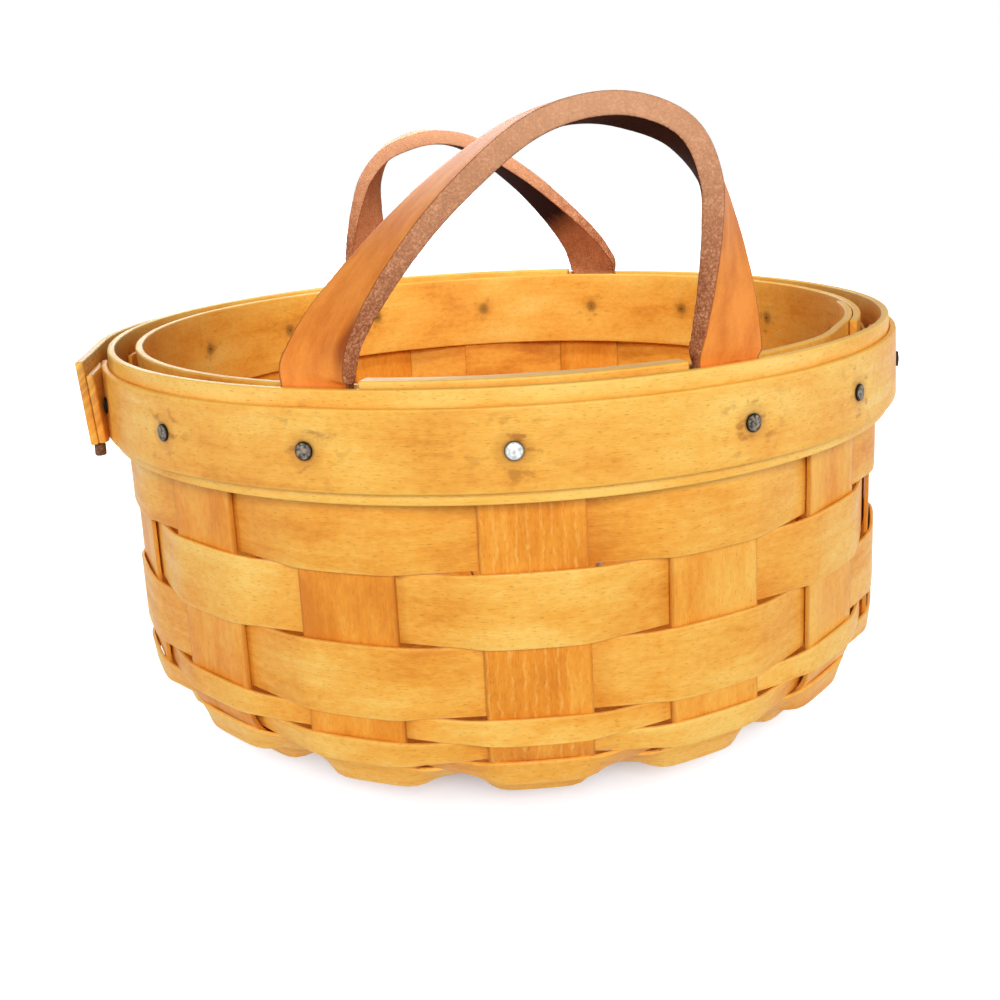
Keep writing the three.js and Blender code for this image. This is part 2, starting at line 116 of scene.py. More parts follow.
def add_node(
    tree: bpy.types.NodeTree,
    kind: str,
    inputs: dict | None = None,
    out: int | str = 0,
    stops: Iterable[tuple[float, str]] = (),
    **settings: object,
) -> Socket:
    """Add a node with its settings, its socket values and its links.

    Args:
        tree: The node tree.
        kind: The node's type name.
        inputs: Socket name or index to a value, or to the output socket that feeds it.
        out: Name or index of the output that is wanted.
        stops: Colour ramp stops as place and hex code.
        **settings: Attributes of the node.

    Returns:
        That output of the new node.
    """
    node = tree.nodes.new(kind)
    for key, value in settings.items():
        setattr(node, key, value)
    feed(tree, node, inputs or {})
    if stops:
        ramp = node.color_ramp
        first, *middle, last = sorted(stops)
        for element, (place, code) in zip(ramp.elements, (first, last)):
            element.position = place
            element.color = linear_colour(code)
        for place, code in middle:
            ramp.elements.new(place).color = linear_colour(code)
    return node.outputs[out]


def strip_noise(
    tree: bpy.types.NodeTree, grain: Socket, size_mm: tuple[float, float], detail: float, roughness: float
) -> Socket:
    """Lay noise along a strip.

    Args:
        tree: The node tree.
        grain: The strip's own map in metres.
        size_mm: Length of its clouds along the strip and their width across it.
        detail: How many finer layers it has.
        roughness: How strong these are.

    Returns:
        The noise, as a factor round 0.5.
    """
    scale = (1 / (size_mm[0] * MM), 1 / (size_mm[1] * MM), 1.0)
    place = add_node(tree, "ShaderNodeMapping", {"Vector": grain, "Scale": scale})
    looks = {"Vector": place, "Scale": 1.0, "Detail": detail, "Roughness": roughness}
    return add_node(tree, "ShaderNodeTexNoise", looks)


def weighed(tree: bpy.types.NodeTree, *parts: tuple[Socket, float]) -> Socket:
    """Add values up, each times its weight.

    Args:
        tree: The node tree.
        *parts: The values with their weights.

    Returns:
        Their sum.
    """
    total: Socket | float = 0.0
    for value, weight in parts:
        total = add_node(tree, "ShaderNodeMath", {0: value, 1: weight, 2: total}, operation="MULTIPLY_ADD")
    return total


def lay_over(
    tree: bpy.types.NodeTree, colour: Socket, layers: Iterable[tuple[str | Socket, list[Ramp]]]
) -> Socket:
    """Lay colours over a surface, one after another.

    Args:
        tree: The node tree.
        colour: The colour underneath.
        layers: The hex code or socket of each, with the ramps whose product is its share. A ramp is a value,
            the place where its share is nothing, the place where it is full and how much full is.

    Returns:
        The colour with all of them on it.
    """
    for over, ramps in layers:
        share: Socket | float = 1.0
        for value, low, high, top in ramps:
            limits = {"Value": value, "From Min": low, "From Max": high, "To Max": top}
            part = add_node(tree, "ShaderNodeMapRange", limits)
            share = add_node(tree, "ShaderNodeMath", {0: share, 1: part}, operation="MULTIPLY")
        both = {"Factor": share, 6: colour, 7: linear_colour(over) if isinstance(over, str) else over}
        colour = add_node(tree, "ShaderNodeMix", both, out=2, data_type="RGBA")
    return colour


def new_material(name: str) -> tuple[bpy.types.Material, bpy.types.NodeTree]:
    """Start a material that holds one Principled shader.

    Args:
        name: The material's name.

    Returns:
        The material and its node tree.
    """
    material = bpy.data.materials.new(name)
    material.use_nodes = True
    return material, material.node_tree


def dress_shader(tree: bpy.types.NodeTree, inputs: dict) -> None:
    """Fill the inputs of a material's Principled shader."""
    feed(tree, tree.nodes["Principled BSDF"], inputs)


# Finishes


class MapleCut(Enum):
    """What a strip of maple was cut for, which sets its depth of colour."""

    STAKE = "stake"
    WEAVER = "weaver"
    BAND = "band"


@dataclass(frozen=True)
class MapleFinish:
    """Steam-bent maple splint under clear satin lacquer.

    Sliced with the grain, so soft yellow and orange clouds run along the strip with fine short brown flecks
    between them. The front middle stake shows a curly figure of pale wavy lines. The lacquer gives a broad
    soft gloss. The paler edges of weavers and bands are painted highlight, partly lacquer wear, and the
    darker edges of stakes are painted shade. The tacks have stained the wood round them, and the dark ring
    right round each head is partly iron stain, partly painted shade. The sprung end of the bands is tinted
    mauve as painted shade.
    """

    cut: MapleCut
    light: str
    pale: str
    honey: str
    deep: str
    fleck: str = "#A8601C"
    # Colour laid along the strip's edges: painted highlight on weavers and bands, partly lacquer wear, and
    # painted shade on stakes.
    side: str = "#FFD777"
    painted_edge_share: float = 0.15
    stain: str = "#A9641E"
    iron_stain_and_shade: str = "#3F2814"
    # Mauve painted shade on the sprung free end of the bands.
    end_shade: str = "#96604A"
    curl: str = "#FDBE5C"
    streak_mm: tuple[float, float] = (45.0, 3.0)
    cloud_mm: tuple[float, float] = (32.0, 17.0)
    fibre_mm: tuple[float, float] = (7.0, 0.34)
    fleck_mm: tuple[float, float] = (1.7, 0.34)
    mottle_mm: tuple[float, float] = (3.0, 1.5)
    blotch_mm: tuple[float, float] = (5.0, 3.4)
    curl_mm: tuple[float, float] = (17.0, 11.0)
    pitch_mm: float = 49.9
    head_mm: float = 2.45
    fleck_share: float = 0.42
    depth_span: tuple[float, float] = (0.90, 1.80)
    stain_reach_mm: tuple[float, float] = (13.0, 4.0)
    noise_roughness: float = 0.55
    relief_mm: float = 0.12
    gloss_span: tuple[float, float] = (0.42, 0.56)

    def build(self) -> bpy.types.Material:
        """Make the material.

        Returns:
            A procedural material that reads the strip's map in metres and the numbers on its points.
        """
        material, tree = new_material(f"lacquered_maple_{self.cut.value}")
        node = partial(add_node, tree)
        names = ("tone", "inset", "curl", "turn", "level", "stain", "end_shade")
        own = {name: node("ShaderNodeAttribute", out="Fac", attribute_name=name) for name in names}
        details = {
            "streak": (self.streak_mm, 2.0),
            "cloud": (self.cloud_mm, 2.0),
            "fibre": (self.fibre_mm, 2.0),
            "mottle": (self.mottle_mm, 2.0),
            "fleck": (self.fleck_mm, 1.0),
            "blotch": (self.blotch_mm, 3.0),
        }
        grain = node("ShaderNodeUVMap", uv_map=GRAIN_UV)
        noise = {
            name: strip_noise(tree, grain, size, detail, self.noise_roughness)
            for name, (size, detail) in details.items()
        }
        weights = {"mottle": 0.55, "streak": 0.40, "cloud": 1.40, "fibre": 0.35}
        shades = [(noise[name], weight) for name, weight in weights.items()]
        depth = weighed(tree, (own["tone"], 1.0), *shades)
        limits = {"Value": depth, "From Min": self.depth_span[0], "From Max": self.depth_span[1]}
        stops = ((0.0, self.light), (0.36, self.pale), (0.62, self.honey), (1.0, self.deep))
        figure = node("ShaderNodeValToRGB", {"Fac": node("ShaderNodeMapRange", limits)}, stops=stops)
        away = self.from_tacks(tree, own["turn"], own["level"])
        stained = (own["stain"], 0.0, 1.0, 1.0)
        curly = [(self.curls(tree, grain), 0.72, 0.99, 0.55), (noise["mottle"], 0.38, 0.62, 1.0)]
        layers = [
            (self.curl, [*curly, (own["curl"], 0.0, 1.0, 1.0)]),
            (self.fleck, [(noise["fleck"], 0.60, 0.74, self.fleck_share)]),
            (self.stain, [(noise["blotch"], 0.55, 0.66, 0.7), (away, *self.stain_reach_mm, 1.0), stained]),
            (self.stain, [(away, self.head_mm * 2.4, self.head_mm, 0.4), stained]),
            # Dark ring right round each tack: partly iron stain, partly painted shade where the head meets
            # the wood.
            (self.iron_stain_and_shade, [(away, self.head_mm * 1.25, self.head_mm * 0.55, 0.95), stained]),
            # Painted edge light and shade along the strip's rounded edges.
            (self.side, [(own["inset"], 0.75, 0.30, self.painted_edge_share)]),
            # Painted shade: the sprung free end is tinted mauve where it turns away from the light.
            (self.end_shade, [(noise["mottle"], 0.30, 0.62, 0.8), (own["end_shade"], 0.0, 1.0, 1.0)]),
        ]
        low, high = self.gloss_span
        rough = {"Value": noise["streak"], "From Min": 0.3, "From Max": 0.7, "To Min": low, "To Max": high}
        height = weighed(tree, (noise["fibre"], 1.0), (noise["fleck"], -1.0))
        relief = {"Height": height, "Strength": 0.35, "Distance": self.relief_mm * MM}
        looks = {
            "Base Color": lay_over(tree, figure, layers),
            "Roughness": node("ShaderNodeMapRange", rough),
            "Normal": node("ShaderNodeBump", relief),
            "IOR": 1.5,
            "Specular IOR Level": 0.22,
            "Coat Weight": 0.05,
            "Coat Roughness": 0.35,
        }
        dress_shader(tree, looks)
        return material

    def curls(self, tree: bpy.types.NodeTree, grain: Socket) -> Socket:
        """Draw the wavy lines of the curly figure.

        Args:
            tree: The node tree.
            grain: The strip's own map in metres.

        Returns:
            The lines, as a factor from 0 to 1.
        """
        scale = (1 / (self.curl_mm[0] * MM), 1 / (self.curl_mm[1] * MM), 1.0)
        place = add_node(tree, "ShaderNodeMapping", {"Vector": grain, "Scale": scale})
        wave = {"Vector": place, "Scale": 1.2, "Distortion": 5.0, "Detail": 3.0}
        wave |= {"Detail Scale": 1.4, "Detail Roughness": 0.7}
        return add_node(tree, "ShaderNodeTexWave", wave, out="Fac", bands_direction="Y")

    def from_tacks(self, tree: bpy.types.NodeTree, turn: Socket, level: Socket) -> Socket:
        """Work out how far each place is from the nearest tack.

        Args:
            tree: The node tree.
            turn: Turns round the rim, counted in tacks.
            level: Millimetres above the tacks.

        Returns:
            The distance in millimetres.
        """
        share = add_node(tree, "ShaderNodeMath", {0: turn, 1: 0.5, 2: -0.5}, operation="WRAP")
        beside = add_node(tree, "ShaderNodeMath", {0: share, 1: self.pitch_mm}, operation="MULTIPLY")
        both = add_node(tree, "ShaderNodeCombineXYZ", {"X": beside, "Y": level})
        return add_node(tree, "ShaderNodeVectorMath", {0: both}, out="Value", operation="LENGTH")


@dataclass(frozen=True)
class StrapLeather:
    """Vegetable-tanned cowhide strap, oiled on the grain side.

    The grain side is smooth and orange tan with soft mottling. The cut edges are raw, pinkish and fibrous,
    with a dark line where the dye stops and a painted highlight high on the arch. The flesh side is matt
    brown, darkened under the arch by painted shade, and painted shade also darkens the recess of a pucker
    near the foot.
    """

    tan: str = "#F99A40"
    tan_deep: str = "#DE7A2C"
    edge_light: str = "#DCA27A"
    edge: str = "#AE6943"
    edge_deep: str = "#854A30"
    edge_highlight: str = "#EDB48A"
    line: str = "#8A3F1C"
    crease_shade: str = "#9C4A18"
    flesh: str = "#C98459"
    flesh_deep: str = "#9A5733"
    arch_shade: str = "#2C0D05"
    edge_from: float = 0.955
    mottle_mm: tuple[float, float] = (15.0, 7.0)
    pore_mm: float = 0.8
    fuzz_mm: float = 0.6
    tuft_mm: float = 4.0
    relief_mm: float = 0.25
    oiled: float = 0.50
    suede: float = 0.95

    def build(self) -> bpy.types.Material:
        """Make the material.

        Returns:
            A procedural material that tells grain, edge and flesh apart by the strap's own depth and across.
        """
        material, tree = new_material("oiled_strap_leather")
        node = partial(add_node, tree)
        names = ("depth", "across", "arch_shade", "crest", "crease_shade")
        own = {name: node("ShaderNodeAttribute", out="Fac", attribute_name=name) for name in names}
        body = node("ShaderNodeTexCoord", out="Object")
        clouds = []
        for size_mm in (self.fuzz_mm, self.tuft_mm):
            looks = {"Vector": body, "Scale": 1 / (size_mm * MM), "Detail": 3.0, "Roughness": 0.65}
            clouds.append(node("ShaderNodeTexNoise", looks))
        fuzz, tuft = clouds
        ragged = weighed(tree, (tuft, 0.4), (fuzz, 1.0))

        grain = node("ShaderNodeUVMap", uv_map=GRAIN_UV)
        mottle = strip_noise(tree, grain, self.mottle_mm, 3.0, 0.6)
        face_place = weighed(tree, (mottle, 1.0), (fuzz, 0.35))
        face_stops = ((0.46, self.tan_deep), (0.82, self.tan))
        face = node("ShaderNodeValToRGB", {"Fac": face_place}, stops=face_stops)
        edge_place = node("ShaderNodeMapRange", {"Value": ragged, "From Min": 0.35, "From Max": 1.05})
        edge_stops = ((0.22, self.edge_deep), (0.50, self.edge), (0.80, self.edge_light))
        edge = node("ShaderNodeValToRGB", {"Fac": edge_place}, stops=edge_stops)
        # Painted highlight: the cut edge is paler high on the arch, where the light falls on it from above.
        edge = lay_over(tree, edge, [(self.edge_highlight, [(own["crest"], 0.25, 1.0, 0.62)])])
        flesh_stops = ((0.50, self.flesh_deep), (0.85, self.flesh))
        inner = node("ShaderNodeValToRGB", {"Fac": ragged}, stops=flesh_stops)
        # Painted shade: the flesh side is darkened under the arch, where it faces down away from the light.
        arch_shade = weighed(tree, (own["arch_shade"], 1.0), (tuft, 0.4))
        inner = lay_over(tree, inner, [(self.arch_shade, [(arch_shade, 0.45, 0.95, 1.0)])])

        side = node("ShaderNodeMath", {0: own["across"]}, operation="ABSOLUTE")
        cut_place = weighed(tree, (side, 1.0), (fuzz, 0.045))
        low, high = self.edge_from + 0.012, self.edge_from + 0.032
        edge_share = node("ShaderNodeMapRange", {"Value": cut_place, "From Min": low, "From Max": high})
        flesh_limits = {"Value": own["depth"], "From Min": -0.55, "From Max": -0.90}
        flesh_share = node("ShaderNodeMapRange", flesh_limits)
        line_limits = {0: cut_place, 1: self.edge_from + 0.010, 2: 0.022}
        line = node("ShaderNodeMath", line_limits, operation="COMPARE")
        layers = [
            # Painted shade in the recess of the pucker near the foot.
            (self.crease_shade, [(own["crease_shade"], 0.10, 0.8, 0.95)]),
            (inner, [(flesh_share, 0.0, 1.0, 1.0)]),
            (edge, [(edge_share, 0.0, 1.0, 1.0)]),
            (self.line, [(line, 0.0, 1.0, 0.55)]),
        ]

        pores = node("ShaderNodeTexVoronoi", {"Vector": body, "Scale": 1 / (self.pore_mm * MM)})
        skin = weighed(tree, (pores, 0.22))
        raw = weighed(tree, (ragged, 1.7))
        height = node("ShaderNodeMix", {"Factor": edge_share, 2: skin, 3: raw})
        relief = {"Height": height, "Strength": 0.6, "Distance": self.relief_mm * MM}
        matt = node("ShaderNodeMath", {0: edge_share, 1: flesh_share}, operation="MAXIMUM")
        rough = {"Value": matt, "To Min": self.oiled, "To Max": self.suede}
        looks = {
            "Base Color": lay_over(tree, face, layers),
            "Roughness": node("ShaderNodeMapRange", rough),
            "Normal": node("ShaderNodeBump", relief),
            "IOR": 1.48,
            "Specular IOR Level": 0.12,
        }
        dress_shader(tree, looks)
        return material


@dataclass(frozen=True)
class TackSteel:
    """Cut steel tack: a domed head, grey and tarnished, its rim darkened as painted shade; a brighter copy is
    a painted glint.
    """

    name: str = "tarnished_tack_steel"
    bright: str = "#857A6C"
    dark: str = "#38332F"
    rim: str = "#241E1B"
    spot_mm: float = 0.9
    relief_mm: float = 0.08
    worn_roughness: float = 0.40
    tarnished_roughness: float = 0.65

    def build(self) -> bpy.types.Material:
        """Make the material.

        Returns:
            A procedural metal that darkens towards the head's rim by the tack's own rim number.
        """
        material, tree = new_material(self.name)
        node = partial(add_node, tree)
        place = node("ShaderNodeTexCoord", out="Object")
        rim = node("ShaderNodeAttribute", out="Fac", attribute_name="rim")
        spots = {"Vector": place, "Scale": 1 / (self.spot_mm * MM), "Detail": 3.0}
        tarnish = node("ShaderNodeTexNoise", spots)
        figure = node("ShaderNodeValToRGB", {"Fac": tarnish}, stops=((0.35, self.dark), (0.62, self.bright)))
        rough = {"Value": tarnish, "To Min": self.tarnished_roughness, "To Max": self.worn_roughness}
        relief = {"Height": tarnish, "Strength": 0.4, "Distance": self.relief_mm * MM}
        looks = {
            # The head darkens towards its rim: painted shade where the head meets the wood.
            "Base Color": lay_over(tree, figure, [(self.rim, [(rim, 0.72, 0.96, 1.0)])]),
            "Roughness": node("ShaderNodeMapRange", rough),
            "Normal": node("ShaderNodeBump", relief),
            "Metallic": 1.0,
        }
        dress_shader(tree, looks)
        return material


@dataclass(frozen=True)
class PegWood:
    """Dark end grain of a small hardwood peg, mottled brown and matt."""

    dark: str = "#4A2A14"
    brown: str = "#7A4A24"
    spots_per_metre: float = 1400.0

    def build(self) -> bpy.types.Material:
        """Make the material.

        Returns:
            A procedural matt brown wood.
        """
        material, tree = new_material("dark_peg_end")
        place = add_node(tree, "ShaderNodeTexCoord", out="Object")
        spots = {"Vector": place, "Scale": self.spots_per_metre, "Detail": 2.0}
        mottle = add_node(tree, "ShaderNodeTexNoise", spots)
        stops = ((0.35, self.dark), (0.65, self.brown))
        colour = add_node(tree, "ShaderNodeValToRGB", {"Fac": mottle}, stops=stops)
        dress_shader(tree, {"Base Color": colour, "Roughness": 0.7})
        return material


# Strips that are made flat and then bent


def smoothstep(value: np.ndarray | float) -> np.ndarray | float:
    """Ease from 0 to 1 as the value goes from 0 to 1."""
    t = np.clip(value, 0.0, 1.0)
    return t * t * (3 - 2 * t)


def slow_wave(along: np.ndarray, length: float, seed: int, size: float) -> np.ndarray:
    """Smooth seeded wander along a strip.

    Args:
        along: Places along the strip.
        length: Length of the longest wave.
        seed: Picks the phases.
        size: Largest swing.

    Returns:
        The wander at each place.
    """
    rng = np.random.default_rng(seed)
    total = np.zeros_like(along)
    for octave in (1.0, 1.9, 3.3):
        total += np.sin(2 * math.pi * octave * along / length + rng.uniform(0, 2 * math.pi)) / octave
    return size * total / 1.9


def around(radius: np.ndarray, azimuth_deg: np.ndarray, height: np.ndarray) -> np.ndarray:
    """Points at radii, azimuths from the front and heights."""
    angle = np.radians(azimuth_deg)
    return np.stack([radius * np.sin(angle), -radius * np.cos(angle), height + 0 * angle], axis=1)


def round_edges(piece: bpy.types.Object, name: str, width: float, segments: int, sharper_deg: float) -> None:
    """Bevel the sharp edges of the active piece.

    Args:
        piece: The piece, which is the active object.
        name: What the bevel is for.
        width: Its width.
        segments: Its steps.
        sharper_deg: Only edges that turn by more than this are bevelled.
    """
    soft = piece.modifiers.new(name, "BEVEL")
    soft.width = width
    soft.segments = segments
    soft.limit_method = "ANGLE"
    soft.angle_limit = math.radians(sharper_deg)
    bpy.ops.object.modifier_apply(modifier=soft.name)


def dress(piece: bpy.types.Object, material: bpy.types.Material, node: str) -> bpy.types.Object:
    """Finish a piece that stays on the basket's own body.

    Args:
        piece: The piece.
        material: Its finish.
        node: The CAD node that it stands for.

    Returns:
        The same piece.
    """
    piece.data.materials.append(material)
    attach(piece, BASKET_BODY)
    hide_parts(node)
    return piece


@dataclass
class Strip:
    """A strip made flat at its real size, length on X, width on Y and thickness on Z, and then bent."""

    name: str
    length: float
    width: float
    thick: float
    cells_long: int
    cells_wide: int
    round_off: float
    piece: bpy.types.Object = field(init=False)
    flat: np.ndarray = field(init=False)

    def make_flat(self) -> "Strip":
        """Add the grid, give it its thickness and rounded edges, and note its flat places.

        Returns:
            The strip itself.
        """
        bpy.ops.object.select_all(action="DESELECT")
        bpy.ops.mesh.primitive_grid_add(
            x_subdivisions=self.cells_long, y_subdivisions=self.cells_wide, size=1.0
        )
        piece = bpy.context.object
        piece.name = self.name
        piece.data.name = self.name
        bpy.ops.object.mode_set(mode="EDIT")
        bpy.ops.mesh.select_all(action="SELECT")
        bpy.ops.transform.resize(value=(self.length, self.width, 1.0))
        bpy.ops.object.mode_set(mode="OBJECT")
        wall = piece.modifiers.new("thickness", "SOLIDIFY")
        wall.thickness = self.thick
        wall.offset = 0.0
        bpy.ops.object.modifier_apply(modifier=wall.name)
        round_edges(piece, "rounded_edges", self.round_off, 3, 40)
        self.piece = piece
        self.flat = np.empty(len(piece.data.vertices) * 3)
        piece.data.vertices.foreach_get("co", self.flat)
        self.flat = self.flat.reshape(-1, 3)
        self.set_attribute("inset", (self.width / 2 - np.abs(self.flat[:, 1])) / MM)
        return self

    def lay_grain(self, offset: float) -> None:
        """Give the strip its map in metres.

        Args:
            offset: How far the map is moved on, so that no two strips share a figure.
        """
        mesh = self.piece.data
        while mesh.uv_layers:
            mesh.uv_layers.remove(mesh.uv_layers[0])
        layer = mesh.uv_layers.new(name=GRAIN_UV)
        corner = np.empty(len(mesh.loops), dtype=np.int32)
        mesh.loops.foreach_get("vertex_index", corner)
        spots = self.flat[corner]
        both = np.stack([spots[:, 0] + offset, spots[:, 1] + spots[:, 2] + offset * 0.37], axis=1)
        layer.data.foreach_set("uv", both.astype(np.float32).ravel())

    def set_attribute(self, name: str, values: np.ndarray) -> None:
        """Store one number for each point."""
        attribute = self.piece.data.attributes.new(name, "FLOAT", "POINT")
        attribute.data.foreach_set("value", np.asarray(values, dtype=np.float32))

    def bend(self, shape: Bend) -> bpy.types.Object:
        """Move every point of the flat strip to its place on the basket.

        Args:
            shape: Takes the flat places along, across and through the strip, and returns points in metres.

        Returns:
            The bent piece, shaded smooth over its gentle turns.
        """
        points = shape(self.flat[:, 0], self.flat[:, 1], self.flat[:, 2])
        mesh = self.piece.data
        mesh.vertices.foreach_set("co", points.astype(np.float32).ravel())
        mesh.update()
        bpy.ops.object.select_all(action="DESELECT")
        self.piece.select_set(True)
        bpy.context.view_layer.objects.active = self.piece
        bpy.ops.object.shade_smooth_by_angle(angle=math.radians(50))
        return self.piece


@dataclass(frozen=True)
class WallProfile:
    """The middle of the stakes from the rim down to the base, as lengths in metres."""

    rim_height: float = RIM_HEIGHT
    top_radius: float = 121.7 * MM
    foot_radius: float = 119.7 * MM
    wall_drop: float = 90.5 * MM
    base_inset: float = 70 * MM
    fullness: float = 1.9
    base_mid: float = 0.6 * MM
    steps: int = 600

    def table(self) -> tuple[np.ndarray, ...]:
        """Walk down the profile: a straight wall, a full quarter turn and a stretch of flat base.

        Returns:
            Length, radius, height and the outward normal's two parts at each step.
        """
        curve_top = self.rim_height - self.wall_drop
        base_radius = self.foot_radius - self.base_inset
        turn = np.linspace(0, math.pi / 2, self.steps)
        depth = curve_top - self.base_mid
        across = np.cos(turn).clip(0, 1) ** (2 / self.fullness)
        down = np.sin(turn) ** (2 / self.fullness)
        radius = np.concatenate([[self.top_radius], base_radius + self.base_inset * across, [0.0]])
        height = np.concatenate([[self.rim_height], curve_top - depth * down, [self.base_mid]])
        length = np.concatenate([[0.0], np.cumsum(np.hypot(np.diff(radius), np.diff(height)))])
        out_r = np.concatenate([[1.0], depth * across ** (self.fullness - 1), [0.0]])
        out_z = np.concatenate([[0.0], -self.base_inset * down ** (self.fullness - 1), [-1.0]])
        size = np.hypot(out_r, out_z)
        return length, radius, height, out_r / size, out_z / size

    def at(self, down: np.ndarray) -> list[np.ndarray]:
        """Radius, height and the outward normal's two parts at lengths down the wall."""
        length, *columns = self.table()
        return [np.interp(down, length, column) for column in columns]

    def turn_end(self) -> float:
        """Length down the wall at which the base becomes flat."""
        return float(self.table()[0][-2])


# Sub-assemblies


@dataclass
class Splints:
    """Eight splints that cross at the base and stand up as sixteen stakes."""

    profile: WallProfile
    finish: MapleFinish
    count: int = STAKES // 2
    width: float = STAKE_WIDTH
    thick: float = STAKE_THICK
    round_off: float = 0.25 * MM
    top: float = 6 * MM
    leg_top: float = 20 * MM
    hub_width: float = 7 * MM
    waist_gap: float = 0.5 * MM
    layer: float = 1.5 * MM
    ramp_radius: float = 45 * MM
    cells_long: int = 190
    cells_wide: int = 4
    deep_stakes: tuple[int, ...] = (0, 15)
    deep_tone: float = 0.16
    pale_stakes: tuple[int, ...] = (1, 2)
    pale_tone: float = -0.10
    other_tones: tuple[float, float] = (-0.08, 0.14)
    curly_stake: int = 0
    little_curl: float = 0.15
    grain_step: float = 0.83

    @property
    def pitch(self) -> float:
        """Angle between neighbouring stakes in degrees."""
        return 180 / self.count

    def build(self) -> list[bpy.types.Object]:
        """Make every splint."""
        material = self.finish.build()
        return [self.splint(index, material) for index in range(self.count)]

    def splint(self, index: int, material: bpy.types.Material) -> bpy.types.Object:
        """Bend one flat splint down the front stake, across the base and up the far stake.

        Args:
            index: Which splint, counted from the front towards the right.
            material: Its finish.

        Returns:
            The piece that stands for the CAD splint.
        """
        under_leg = index in (1, self.count - 1)
        top = self.leg_top if under_leg else self.top
        turn_end = self.profile.turn_end()
        half = turn_end + self.profile.at(np.array([turn_end]))[0][0] - top
        strip = Strip(
            f"maple_splint_{index + 1}", 2 * half, self.width, self.thick,
            self.cells_long, self.cells_wide, self.round_off,
        )
        strip.make_flat()
        strip.lay_grain(self.grain_step * (index + 1))
        azimuth = math.radians(index * self.pitch)
        outwards = np.array([math.sin(azimuth), -math.cos(azimuth), 0.0])
        sideways = np.array([math.cos(azimuth), math.sin(azimuth), 0.0])
        upwards = np.array([0.0, 0.0, 1.0])
        half_pitch = math.tan(math.radians(self.pitch / 2))
        hub_radius = (self.hub_width + self.waist_gap) / (2 * half_pitch)

        def shape(along: np.ndarray, across: np.ndarray, through: np.ndarray) -> np.ndarray:
            """Bend the splint, narrowing it over the base and lifting it in the stack at the middle.

            Args:
                along: Flat places from the far stake's side to the near one's, whose sign picks the stake.
                across: Flat places across the width.
                through: Flat places through the thickness.

            Returns:
                Points on the basket.
            """
            radius, height, out_r, out_z = self.profile.at(top + half - np.abs(along))
            open_width = np.clip(2 * half_pitch * radius - self.waist_gap, self.hub_width, self.width)
            inwards = (self.ramp_radius - radius) / (self.ramp_radius - hub_radius)
            lift = index * self.layer * smoothstep(inwards)
            reach = np.where(along < 0, 1.0, -1.0) * (radius + through * out_r)
            spread = across * open_width / self.width
            level = height + through * out_z + lift
            return reach[:, None] * outwards + spread[:, None] * sideways + level[:, None] * upwards

        near = strip.flat[:, 0] < 0
        wander = slow_wave(strip.flat[:, 0], 0.5, 40 + index, 0.12)
        strip.set_attribute("tone", wander + self.by_stake(near, index, self.stake_tone))
        strip.set_attribute("curl", self.by_stake(near, index, self.stake_curl))
        return dress(strip.bend(shape), material, f"splint_{index + 1}")

    def by_stake(self, near: np.ndarray, index: int, value: Callable[[int], float]) -> np.ndarray:
        """Pick a value for each point from the stake that it is on."""
        return np.where(near, value(index), value(index + self.count))

    def stake_curl(self, stake: int) -> float:
        """How much curly figure a stake shows."""
        return 1.0 if stake == self.curly_stake else self.little_curl

    def stake_tone(self, stake: int) -> float:
        """Say how deep a stake's colour is.

        Args:
            stake: Which stake, counted from the front towards the right.

        Returns:
            What is added to the tone of the wood; the one at the front middle is among the deepest.
        """
        if stake in self.deep_stakes:
            return self.deep_tone
        if stake in self.pale_stakes:
            return self.pale_tone
        return float(np.random.default_rng(700 + stake).uniform(*self.other_tones))


@dataclass(frozen=True)
class RowSection:
    """Cross-section of one row: its middle on the stakes, its tilt from upright and how far it stands off.

    The hollow is how far the row sinks back at places from its upper to its lower edge, to hug the stakes.
    """

    radius: float
    height: float
    tilt: float
    tilt_over: float
    outside: float
    outside_over: float
    inside: float
    hollow: tuple[float, ...]


